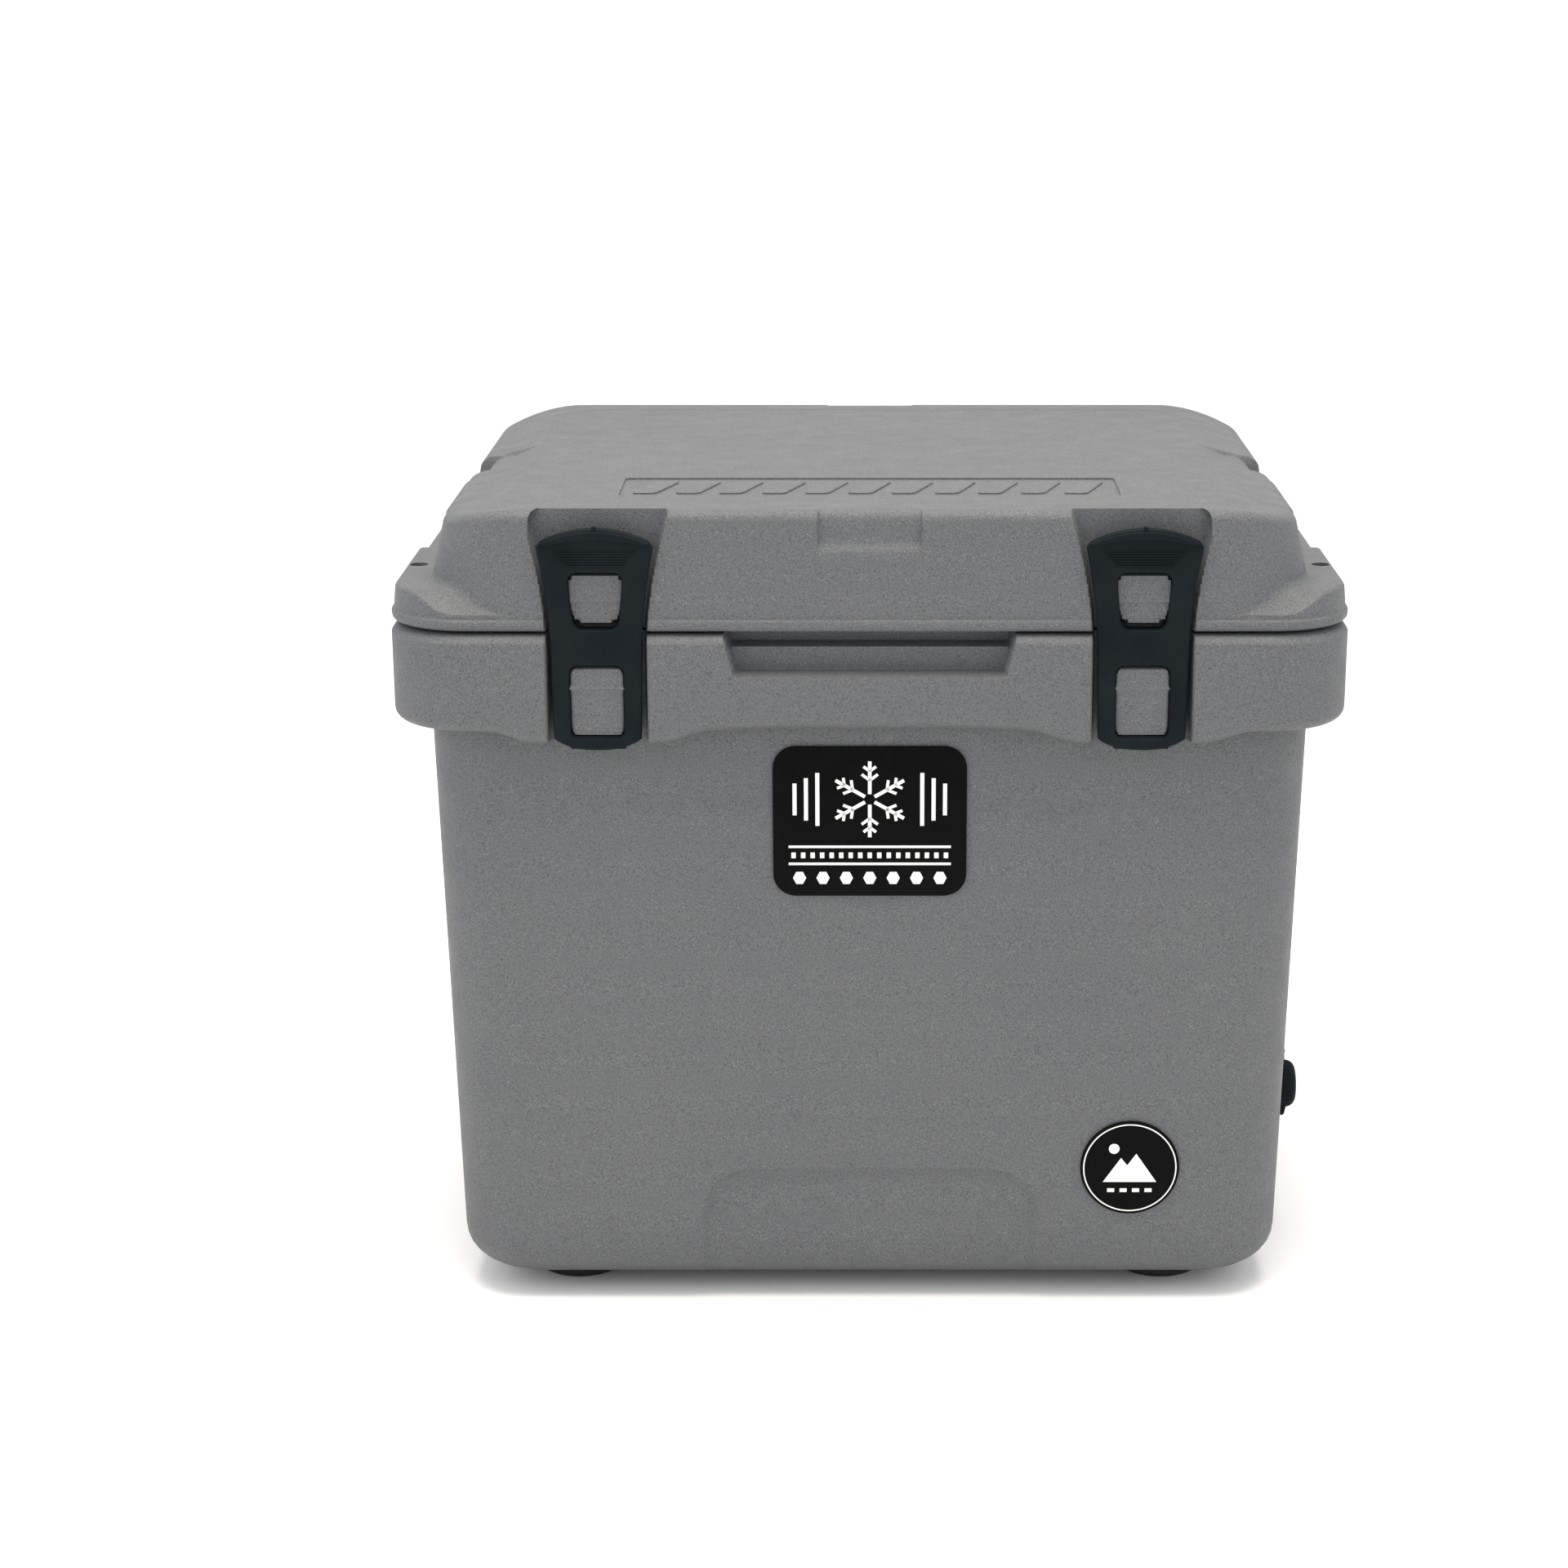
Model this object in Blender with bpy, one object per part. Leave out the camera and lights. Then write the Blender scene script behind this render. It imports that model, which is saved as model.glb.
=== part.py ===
"""A 30-quart rotomoulded hard cooler: foam-filled body and lid, rear hinge rod, two front latches,
four rubber feet and a side drain.

Metres, +Z up, front faces -Y. The origin is on the ground under the middle of the cooler.
"""

import math

import bmesh
import bpy
from mathutils import Matrix, Vector

# ---------------------------------------------------------------- overall sizes
WIDTH = 0.520  # over the rim band, along X
DEPTH = 0.410  # over the rim band, along Y
PARTING_Z = 0.392  # top of the body, where the lid comes down
LID_HEIGHT = 0.066  # top of the lid above the top of the body

# ---------------------------------------------------------------- clearances
SEAT_GAP = 0.0003  # between pieces that touch
LID_GAP = 0.0015  # open line between lid and body
LATCH_GAP = 0.0012  # around a latch and around the lugs in its windows
SWING_GAP = 0.0010  # around a turning knuckle

# ---------------------------------------------------------------- moulded walls
SKIN = 0.004  # plastic skin
FOOT_PROUD = 0.010  # ground to the underside of the body
RIM_HEIGHT = 0.0625
RIM_OVERHANG = 0.019
RIM_EDGE = 0.008  # rounding of the rim's lower edge
RIM_CORNER = 0.045  # plan radius of the rim's corners
BODY_CORNER = 0.038
BODY_DRAFT = math.radians(1.65)
BASE_EDGE = 0.024  # rounding between walls and base
CORNER_STEPS = 6

WALL_SIDE = 0.055  # foam and both skins, at the ends
WALL_FRONT = 0.058  # the same, front and back
FLOOR_THICKNESS = 0.056
ICE_BOX_DRAFT = math.radians(1.0)
ICE_BOX_CORNER = 0.022
ICE_BOX_FILLET = 0.006
FOAM_TOP_COVER = 0.014  # solid plastic over the foam under the rim's top

# ---------------------------------------------------------------- lid
LIP_HEIGHT = 0.006
LIP_CHAMFER = 0.0025
LIP_PROUD = 0.0003  # lip's face in front of the dome's foot
TAB_HEIGHT = 0.0205  # the low corner ears
SIDE_DIP_HALF = 0.060  # half length of the lower stretch between the ears, on each side
SIDE_DIP = 0.0065
DOME_SIDE_INSET = 0.022  # dome's foot, in from the side of the rim
DOME_FRONT_INSET = 0.003
DOME_LEAN = 0.006  # how far the dome's walls lean in
DOME_EDGE = 0.013  # rounding of the lid's top edge
DOME_CORNER = 0.052
PANEL_MARGIN = 0.030  # border around the shallow panel in the lid's top
PANEL_DEPTH = 0.0015
PLUG_DEPTH = 0.012  # the lid's underside reaches this far into the ice box
PLUG_GAP = 0.003
LID_FOAM_INSET = 0.030
LID_FOAM_BASE = 0.005

TIE_HOLE_RADIUS = 0.005
TIE_HOLE_FROM_SIDE = 0.0095
TIE_HOLE_FROM_FRONT = 0.090

LID_NOTCH_TOP_HALF = 0.0277  # grip dish in the middle of the lid's front
LID_NOTCH_FOOT_HALF = 0.0227
LID_NOTCH_HEIGHT = 0.0215
LID_NOTCH_DEPTH = 0.007

# ---------------------------------------------------------------- gasket
GASKET_WIDTH = 0.010
GASKET_HEIGHT = 0.004
GASKET_FROM_ICE_BOX = 0.012
GASKET_CREST = 0.0010  # how far it stands below the lid

# ---------------------------------------------------------------- hinge
KNUCKLE_RADIUS = 0.0105
ROD_RADIUS = 0.0035
HINGE_FROM_BACK = 0.011
HINGE_HALF_LENGTH = 0.200
LID_KNUCKLE_FROM = 0.040
LID_KNUCKLE_TO = 0.120
BODY_BEVEL_ANGLE = math.radians(45)
LID_BEVEL_ANGLE = math.radians(58)
ROD_CAP_RADIUS = 0.0065
ROD_CAP_LENGTH = 0.004

# ---------------------------------------------------------------- latches
LATCH_X = 0.1457
LATCH_CHANNEL_DEPTH = 0.016  # from the rim's front to the channel's floor
LATCH_FRONT = 0.001  # latch face, behind the rim's front
LATCH_THICKNESS = 0.009
LATCH_EAR_THICKNESS = 0.0022
LATCH_HALF = 0.025
LATCH_EAR_HALF = 0.0318
LATCH_TOP = 0.0578  # above the parting line
LATCH_PIVOT_BELOW = 0.0592  # pivot below the parting line
LATCH_BARREL = 0.0038
LATCH_PIN_RADIUS = 0.0015
LATCH_PIN_REACH = 0.008  # pin end beyond the channel's side
LATCH_FLARE = 0.0385  # channel half width at the lid's top
UPPER_LUG_HALF = 0.0140
UPPER_LUG_FOOT = 0.0047
UPPER_LUG_HEIGHT = 0.0285
UPPER_LUG_FRONT = 0.0042  # lug face, behind the rim's front
LOWER_LUG_HALF = 0.0138
LOWER_LUG_TOP = -0.0173
LOWER_LUG_HEIGHT = 0.0369
LOWER_LUG_FRONT = 0.0025

# ---------------------------------------------------------------- grips
POCKET_HALF = 0.0772  # finger pocket under the lid's front
POCKET_HEIGHT = 0.0223
POCKET_DEPTH = 0.014
SIDE_GRIP_HALF = 0.055
SIDE_GRIP_HEIGHT = 0.034
SIDE_GRIP_LIP = 0.007

# ---------------------------------------------------------------- feet
FOOT_RADIUS = 0.026
FOOT_RECESS = 0.004
FOOT_X = 0.168
FOOT_Y = 0.120
FOOT_SCREW_RADIUS = 0.002
FOOT_SCREW_LENGTH = 0.016
FOOT_HEAD_RADIUS = 0.005
FOOT_HEAD_HEIGHT = 0.003
FOOT_COUNTERBORE = 0.0065
FOOT_FLOOR = 0.008  # rubber left under the screw head's side of the foot

# ---------------------------------------------------------------- drain
DRAIN_CORNER_GAP = 0.0015  # between the nut and the ice box's fillet
DRAIN_SETBACK = 0.020  # nut's edge, back from the ice box's front corner
DRAIN_BORE = 0.009
DRAIN_TUBE = 0.0125
DRAIN_FLANGE_WIDTH = 0.007  # beyond the tube
DRAIN_FLANGE_THICKNESS = 0.004
DRAIN_SEAL_THICKNESS = 0.002
DRAIN_NUT_WALL = 0.004
DRAIN_NUT_THICKNESS = 0.005
DRAIN_CAP_OVERLAP = 0.0015  # cap beyond the tube
DRAIN_CAP_LENGTH = 0.0125
DRAIN_STUB = 0.0070
DRAIN_STUB_LENGTH = 0.006
DRAIN_HINGE_ABOVE = 0.003  # strap hinge above the flange
DRAIN_EYE_RADIUS = 0.0028
DRAIN_PIN_RADIUS = 0.0012
DRAIN_STRAP_HALF = 0.0040
DRAIN_EAR = 0.0030

# ---------------------------------------------------------------- fill holes and badges
FILL_HOLE_RADIUS = 0.012
BADGE_WIDTH = 0.1056
BADGE_HEIGHT = 0.085
BADGE_CORNER = 0.0135
BADGE_THICKNESS = 0.0008
BADGE_BELOW_RIM = 0.0023
ROUND_BADGE_RADIUS = 0.0278
ROUND_BADGE_X = 0.146
ROUND_BADGE_Z = 0.0816

# ---------------------------------------------------------------- worked out from the above
HALF_W = WIDTH / 2
HALF_D = DEPTH / 2
RIM_BOTTOM = PARTING_Z - RIM_HEIGHT
FRONT = -HALF_D
LID_BASE = PARTING_Z + LID_GAP
LID_TOP = PARTING_Z + LID_HEIGHT
FLOOR_Z = FOOT_PROUD + FLOOR_THICKNESS
ICE_HALF_W = HALF_W - RIM_OVERHANG - WALL_SIDE
ICE_HALF_D = HALF_D - RIM_OVERHANG - WALL_FRONT
HINGE_Y = HALF_D - HINGE_FROM_BACK
HINGE_Z = PARTING_Z + LID_GAP / 2
LATCH_PIVOT_Y = FRONT + LATCH_FRONT + LATCH_THICKNESS / 2
LATCH_PIVOT_Z = PARTING_Z - LATCH_PIVOT_BELOW
CHANNEL_HALF = LATCH_HALF + LATCH_GAP
CHANNEL_FLOOR = FRONT + LATCH_CHANNEL_DEPTH
BEYOND = 0.010  # how far a cutter runs past the face it opens
DRAIN_FLANGE = DRAIN_TUBE + DRAIN_FLANGE_WIDTH
DRAIN_NUT = DRAIN_TUBE + DRAIN_NUT_WALL
DRAIN_CAP = DRAIN_TUBE + DRAIN_CAP_OVERLAP
DRAIN_HINGE_RISE = DRAIN_FLANGE + DRAIN_HINGE_ABOVE
DRAIN_Z = FLOOR_Z + ICE_BOX_FILLET + DRAIN_NUT + DRAIN_CORNER_GAP
DRAIN_DEPTH_HERE = ICE_HALF_D - math.tan(ICE_BOX_DRAFT) * (PARTING_Z - DRAIN_Z)
DRAIN_Y = -(DRAIN_DEPTH_HERE - ICE_BOX_CORNER - DRAIN_NUT - DRAIN_SETBACK)

GREY = (0.205, 0.210, 0.214)
INK = (0.014, 0.018, 0.022)
RUBBER = (0.012, 0.012, 0.013)
FOAM = (0.70, 0.62, 0.40)
STEEL = (0.55, 0.55, 0.56)


# ================================================================ helpers
def clear_scene():
    for obj in list(bpy.data.objects):
        bpy.data.objects.remove(obj, do_unlink=True)


def material(name, color, roughness, metallic=0.0):
    mat = bpy.data.materials.get(name) or bpy.data.materials.new(name)
    mat.use_nodes = True
    shader = mat.node_tree.nodes["Principled BSDF"]
    shader.inputs["Base Color"].default_value = (*color, 1.0)
    shader.inputs["Roughness"].default_value = roughness
    shader.inputs["Metallic"].default_value = metallic
    return mat


def add_object(name, bm):
    """A new object from a finished bmesh, with its faces pointing out."""
    bmesh.ops.recalc_face_normals(bm, faces=bm.faces)
    mesh = bpy.data.meshes.new(name)
    bm.to_mesh(mesh)
    bm.free()
    obj = bpy.data.objects.new(name, mesh)
    bpy.context.scene.collection.objects.link(obj)
    return obj


def combine(target, other, operation):
    """Joins other to target, or takes it away, and removes other."""
    modifier = target.modifiers.new(operation, "BOOLEAN")
    modifier.object = other
    modifier.operation = operation
    modifier.solver = "EXACT"
    bpy.context.view_layer.update()
    graph = bpy.context.evaluated_depsgraph_get()
    result = bpy.data.meshes.new_from_object(target.evaluated_get(graph))
    target.modifiers.clear()
    target.data = result
    bpy.data.objects.remove(other, do_unlink=True)
    return target


def cut(target, *cutters):
    for cutter in cutters:
        combine(target, cutter, "DIFFERENCE")
    return target


def join(target, *others):
    for other in others:
        combine(target, other, "UNION")
    return target


def finish(obj, name, mat, origin=None):
    """Names the piece, gives it its material and shading, and puts its origin on its pivot."""
    obj.name = name
    obj.data.name = name
    obj.data.materials.clear()
    obj.data.materials.append(mat)
    bm = bmesh.new()
    bm.from_mesh(obj.data)
    bmesh.ops.dissolve_degenerate(bm, dist=1e-6, edges=bm.edges)
    bmesh.ops.triangulate(bm, faces=[face for face in bm.faces if len(face.verts) > 4])
    bm.to_mesh(obj.data)
    bm.free()
    obj.data.shade_smooth()
    obj.data.set_sharp_from_angle(angle=math.radians(32))
    if origin is not None:
        obj.data.transform(Matrix.Translation(-Vector(origin)))
        obj.location = origin
    return obj


def rounded_rectangle(half_w, half_d, radius, steps=CORNER_STEPS):
    """Points around a rounded rectangle, counter-clockwise from the +X side."""
    points = []
    for corner, (side_x, side_y) in enumerate(((1, 1), (-1, 1), (-1, -1), (1, -1))):
        for step in range(steps + 1):
            angle = math.radians(90) * (corner + step / steps)
            x = side_x * (half_w - radius) + radius * math.cos(angle)
            y = side_y * (half_d - radius) + radius * math.sin(angle)
            points.append((x, y))
    return points


def loft(rings):
    """A closed solid through rounded rectangles: each ring is (z, half width, half depth, radius)."""
    bm = bmesh.new()
    loops = []
    for z, half_w, half_d, radius in rings:
        loops.append([bm.verts.new((x, y, z)) for x, y in rounded_rectangle(half_w, half_d, radius)])
    count = len(loops[0])
    for lower, upper in zip(loops, loops[1:]):
        for i in range(count):
            j = (i + 1) % count
            bm.faces.new((lower[i], lower[j], upper[j], upper[i]))
    bm.faces.new(loops[0][::-1])
    bm.faces.new(loops[-1])
    return add_object("loft", bm)


def extrude(outline, start, end, axis):
    """A prism. The outline's two coordinates are the other two axes, in X, Y, Z order."""
    place = {
        "x": lambda a, b, along: (along, a, b),
        "y": lambda a, b, along: (a, along, b),
        "z": lambda a, b, along: (a, b, along),
    }[axis]
    bm = bmesh.new()
    first = [bm.verts.new(place(a, b, start)) for a, b in outline]
    last = [bm.verts.new(place(a, b, end)) for a, b in outline]
    bm.faces.new(first)
    bm.faces.new(last[::-1])
    for i in range(len(outline)):
        j = (i + 1) % len(outline)
        bm.faces.new((first[i], last[i], last[j], first[j]))
    return add_object("prism", bm)


def box(low, high):
    outline = [(low[0], low[1]), (high[0], low[1]), (high[0], high[1]), (low[0], high[1])]
    return extrude(outline, low[2], high[2], "z")


def turned(profile, centre, axis, segments=32):
    """Turns (radius, distance along the axis) points around an axis through centre."""
    bm = bmesh.new()
    direction = {"x": Vector((1, 0, 0)), "y": Vector((0, 1, 0)), "z": Vector((0, 0, 1))}[axis]
    side = {"x": Vector((0, 1, 0)), "y": Vector((0, 0, 1)), "z": Vector((1, 0, 0))}[axis]
    third = direction.cross(side)
    loops = []
    for radius, along in profile:
        middle = Vector(centre) + direction * along
        if radius == 0:
            loops.append([bm.verts.new(middle)])
            continue
        ring = []
        for i in range(segments):
            angle = 2 * math.pi * i / segments
            ring.append(bm.verts.new(middle + side * radius * math.cos(angle) + third * radius * math.sin(angle)))
        loops.append(ring)
    closed = profile[0][0] > 0
    pairs = list(zip(loops, loops[1:] + loops[:1])) if closed else list(zip(loops, loops[1:]))
    for ring, following in pairs:
        for i in range(segments):
            j = (i + 1) % segments
            corners = [ring[i % len(ring)], ring[j % len(ring)]]
            corners += [following[j % len(following)], following[i % len(following)]]
            unique = list(dict.fromkeys(corners))
            bm.faces.new(unique)
    return add_object("turned", bm)


def cylinder(centre, axis, radius, start, end, segments=32):
    profile = [(0, start), (radius, start), (radius, end), (0, end)]
    return turned(profile, centre, axis, segments)


def arc(centre_a, centre_b, radius, start_degrees, end_degrees, steps):
    """Points of an arc in a plane."""
    points = []
    for step in range(steps + 1):
        angle = math.radians(start_degrees + (end_degrees - start_degrees) * step / steps)
        points.append((centre_a + radius * math.cos(angle), centre_b + radius * math.sin(angle)))
    return points


# ================================================================ sections that more than one piece uses
def wall_half(z, half_at_rim):
    """Half width or depth of the drafted body outside, at a height."""
    return half_at_rim - math.tan(BODY_DRAFT) * (RIM_BOTTOM - z)


def outside_w(z):
    return wall_half(z, HALF_W - RIM_OVERHANG)


def outside_d(z):
    return wall_half(z, HALF_D - RIM_OVERHANG)


def ice_box_half(z, half_at_top):
    return half_at_top - math.tan(ICE_BOX_DRAFT) * (PARTING_Z - z)


def body_outer():
    rings = []
    for step in range(5):
        angle = math.radians(90) * step / 4
        z = FOOT_PROUD + BASE_EDGE * (1 - math.cos(angle))
        inset = BASE_EDGE * (1 - math.sin(angle))
        rings.append((z, outside_w(z) - inset, outside_d(z) - inset, BODY_CORNER - inset * 0.5))
    rings.append((RIM_BOTTOM, outside_w(RIM_BOTTOM), outside_d(RIM_BOTTOM), BODY_CORNER))
    for step in range(4):
        angle = math.radians(90) * step / 3
        inset = RIM_EDGE * (1 - math.sin(angle))
        z = RIM_BOTTOM + RIM_EDGE * (1 - math.cos(angle))
        rings.append((z, HALF_W - inset, HALF_D - inset, RIM_CORNER - inset))
    rings.append((PARTING_Z - LIP_CHAMFER, HALF_W, HALF_D, RIM_CORNER))
    rings.append((PARTING_Z, HALF_W - LIP_CHAMFER, HALF_D - LIP_CHAMFER, RIM_CORNER - LIP_CHAMFER))
    return loft(rings)


def ice_box_space(grow, floor, top):
    """The ice box's hollow, or the same grown by a skin."""
    rings = []
    for inset, z in ((ICE_BOX_FILLET, floor), (0, floor + ICE_BOX_FILLET), (0, top)):
        half_w = ice_box_half(z, ICE_HALF_W) + grow - inset
        half_d = ice_box_half(z, ICE_HALF_D) + grow - inset
        rings.append((z, half_w, half_d, ICE_BOX_CORNER + grow - inset))
    return loft(rings)


def body_hollow(shrink):
    """The space inside the outer skin, drawn in by shrink."""
    cover = SKIN + shrink
    low = FOOT_PROUD + FOOT_RECESS + cover
    high = PARTING_Z - FOAM_TOP_COVER - shrink
    corner = BODY_CORNER - cover
    turn = low + BASE_EDGE * 0.8
    rings = [
        (low, outside_w(low) - cover - BASE_EDGE * 0.8, outside_d(low) - cover - BASE_EDGE * 0.8, corner * 0.7),
        (turn, outside_w(turn) - cover, outside_d(turn) - cover, corner),
        (high, outside_w(RIM_BOTTOM) - cover, outside_d(RIM_BOTTOM) - cover, corner),
    ]
    return loft(rings)


def latch_channel_half(z):
    """Half width of a latch's channel at a height: it follows the latch's own outline."""
    rise = z - PARTING_Z
    return CHANNEL_HALF + (LATCH_FLARE - CHANNEL_HALF) * max(0.0, rise / LID_HEIGHT) ** 1.6


def latch_channel(side):
    """Cutter for one channel, through the rim band and the lid's front."""
    heights = [RIM_BOTTOM - BEYOND, PARTING_Z]
    heights += [PARTING_Z + LID_HEIGHT * step / 6 for step in range(1, 7)]
    heights.append(LID_TOP + BEYOND)
    right = [(side * LATCH_X + latch_channel_half(z), z) for z in heights]
    left = [(side * LATCH_X - latch_channel_half(z), z) for z in reversed(heights)]
    return extrude(right + left, FRONT - BEYOND, CHANNEL_FLOOR, "y")


def drain_face():
    """X of the flat seat that the drain's seal lies on."""
    return outside_w(DRAIN_Z - DRAIN_FLANGE) - SEAT_GAP


def lug(side, half, low, height, front, lean):
    """A block that a latch window fits over. lean narrows its foot and slopes its face."""
    x = side * LATCH_X
    outline = [(x - half + lean, low), (x + half - lean, low), (x + half, low + height * 0.45)]
    outline += [(x + half, low + height * 0.85), (x + half * 0.75, low + height)]
    outline += [(x - half * 0.75, low + height), (x - half, low + height * 0.85), (x - half, low + height * 0.45)]
    return extrude(outline, FRONT + front, CHANNEL_FLOOR + SKIN / 2, "y")


# ================================================================ body
def body_knuckles():
    """X spans of the body's knuckles along the hinge."""
    return (
        (-HINGE_HALF_LENGTH, -LID_KNUCKLE_TO - SWING_GAP / 2),
        (-LID_KNUCKLE_FROM + SWING_GAP / 2, LID_KNUCKLE_FROM - SWING_GAP / 2),
        (LID_KNUCKLE_TO + SWING_GAP / 2, HINGE_HALF_LENGTH),
    )


def lid_knuckles():
    return (
        (-LID_KNUCKLE_TO + SWING_GAP / 2, -LID_KNUCKLE_FROM - SWING_GAP / 2),
        (LID_KNUCKLE_FROM + SWING_GAP / 2, LID_KNUCKLE_TO - SWING_GAP / 2),
    )


def along_hinge(radius, start, end, segments=24):
    return cylinder((0, HINGE_Y, HINGE_Z), "x", radius, start, end, segments)


def hinge_bevel(angle, upward):
    """Wedge behind the hinge line, which lets the lid swing past upright."""
    reach = HINGE_FROM_BACK + BEYOND
    z_far = HINGE_Z + reach * math.tan(angle) * upward
    outline = [(HINGE_Y, HINGE_Z), (HINGE_Y + reach, z_far), (HINGE_Y + reach, HINGE_Z)]
    bevel = extrude(outline, -WIDTH, WIDTH, "x")
    return bevel


def cut_hinge(shell, own, others, angle, upward):
    """Bevels the back edge, makes room for the other side's knuckles and adds this side's."""
    cut(shell, hinge_bevel(angle, upward))
    for start, end in others:
        cut(shell, along_hinge(KNUCKLE_RADIUS + SWING_GAP, start - SWING_GAP / 2, end + SWING_GAP / 2))
    for start, end in own:
        join(shell, along_hinge(KNUCKLE_RADIUS, start, end))
    for side in (-1, 1):
        start, end = sorted((side * HINGE_HALF_LENGTH, side * (HINGE_HALF_LENGTH + ROD_CAP_LENGTH + SWING_GAP)))
        cut(shell, along_hinge(ROD_CAP_RADIUS + SWING_GAP, start, end))
    return cut(shell, along_hinge(ROD_RADIUS + SEAT_GAP, -HINGE_HALF_LENGTH - BEYOND, HINGE_HALF_LENGTH + BEYOND))


def side_grip(side):
    """Cutter for the finger slot behind the rim at one end, open below."""
    inner = outside_w(RIM_BOTTOM) - SEAT_GAP
    outer = HALF_W - SIDE_GRIP_LIP
    low, high = sorted((side * inner, side * outer))
    top = RIM_BOTTOM + SIDE_GRIP_HEIGHT
    return box((low, -SIDE_GRIP_HALF, RIM_BOTTOM - BEYOND), (high, SIDE_GRIP_HALF, top))


def tie_holes(low, high):
    """Cutters for the tie-down holes through the four corner ears."""
    holes = []
    for side in (-1, 1):
        for end in (-1, 1):
            at = (side * (HALF_W - TIE_HOLE_FROM_SIDE), end * (HALF_D - TIE_HOLE_FROM_FRONT), 0)
            holes.append(cylinder(at, "z", TIE_HOLE_RADIUS, low, high, 16))
    return holes


def foot_places():
    names = {(-1, -1): "front_left", (1, -1): "front_right", (-1, 1): "back_left", (1, 1): "back_right"}
    return [(name, sx * FOOT_X, sy * FOOT_Y) for (sx, sy), name in names.items()]


def make_body_shell(mat):
    shell = body_outer()
    cut(shell, ice_box_space(0, FLOOR_Z, PARTING_Z + BEYOND))
    cut_hinge(shell, body_knuckles(), lid_knuckles(), BODY_BEVEL_ANGLE, -1)
    pocket_low = PARTING_Z - POCKET_HEIGHT
    pocket = [(-POCKET_HALF + 0.006, pocket_low), (POCKET_HALF - 0.006, pocket_low)]
    pocket += [(POCKET_HALF, PARTING_Z + BEYOND), (-POCKET_HALF, PARTING_Z + BEYOND)]
    cut(shell, extrude(pocket, FRONT - BEYOND, FRONT + POCKET_DEPTH, "y"))
    for side in (-1, 1):
        cut(shell, latch_channel(side), side_grip(side))
        low = PARTING_Z + LOWER_LUG_TOP - LOWER_LUG_HEIGHT
        join(shell, lug(side, LOWER_LUG_HALF, low, LOWER_LUG_HEIGHT, LOWER_LUG_FRONT, 0.0))
        pivot = (side * LATCH_X, LATCH_PIVOT_Y, LATCH_PIVOT_Z)
        reach = CHANNEL_HALF + LATCH_PIN_REACH + SEAT_GAP
        cut(shell, cylinder(pivot, "x", LATCH_PIN_RADIUS + SEAT_GAP, -reach, reach, 12))
    cut(shell, *tie_holes(RIM_BOTTOM - BEYOND, PARTING_Z + BEYOND))
    for _, x, y in foot_places():
        floor = FOOT_PROUD + FOOT_RECESS
        cut(shell, cylinder((x, y, 0), "z", FOOT_RADIUS + SEAT_GAP, -BEYOND, floor))
        cut(shell, cylinder((x, y, 0), "z", FOOT_SCREW_RADIUS + SEAT_GAP, -BEYOND, floor + SKIN * 2, 12))
    seat = (0, DRAIN_Y, DRAIN_Z)
    cut(shell, cylinder(seat, "x", DRAIN_FLANGE + SWING_GAP, drain_face(), HALF_W + BEYOND))
    ear_top = DRAIN_Z + DRAIN_HINGE_RISE + DRAIN_EYE_RADIUS + SWING_GAP
    ear_half = DRAIN_STRAP_HALF + DRAIN_EAR + SWING_GAP
    cut(shell, box((drain_face(), DRAIN_Y - ear_half, DRAIN_Z), (HALF_W + BEYOND, DRAIN_Y + ear_half, ear_top)))
    cut(shell, body_hollow(0))
    cut(shell, cylinder(seat, "x", DRAIN_TUBE + SEAT_GAP, ICE_HALF_W, HALF_W))
    cut(shell, cylinder((0, 0, 0), "z", FILL_HOLE_RADIUS, -BEYOND, FOOT_PROUD + FOOT_RECESS + SKIN * 2, 24))
    return finish(shell, "body_shell", mat)


def make_ice_box_liner(mat):
    """The tub inside the foam, which meets the shell under the rim."""
    liner = ice_box_space(SKIN, FLOOR_Z - SKIN, PARTING_Z - FOAM_TOP_COVER - SEAT_GAP)
    cut(liner, ice_box_space(0, FLOOR_Z, PARTING_Z + BEYOND))
    seat = (0, DRAIN_Y, DRAIN_Z)
    cut(liner, cylinder(seat, "x", DRAIN_TUBE + SEAT_GAP, ICE_HALF_W - WALL_SIDE, HALF_W))
    return finish(liner, "ice_box_liner", mat)


def make_body_foam(mat):
    cover = SKIN + SEAT_GAP
    foam = cut(body_hollow(SEAT_GAP), ice_box_space(cover, FLOOR_Z - cover, PARTING_Z))
    cut(foam, cylinder((0, DRAIN_Y, DRAIN_Z), "x", DRAIN_TUBE + SEAT_GAP, 0, HALF_W))
    for _, x, y in foot_places():
        cut(foam, cylinder((x, y, 0), "z", FOOT_SCREW_RADIUS + SEAT_GAP, 0, FOOT_SCREW_LENGTH + 0.012, 12))
    return finish(foam, "body_foam", mat)


def make_fill_plug(name, face_z, length, direction, mat):
    """A disc plug in a foam-filling hole, flush with the skin."""
    end = direction * (length - SEAT_GAP)
    start = direction * 0.0005
    plug = cylinder((0, 0, face_z), "z", FILL_HOLE_RADIUS - SEAT_GAP, min(start, end), max(start, end), 24)
    dimple = cylinder((0, 0, face_z), "z", FILL_HOLE_RADIUS * 0.45, *sorted((-direction * 0.001, direction * 0.0015)), 24)
    return finish(cut(plug, dimple), name, mat)


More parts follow.
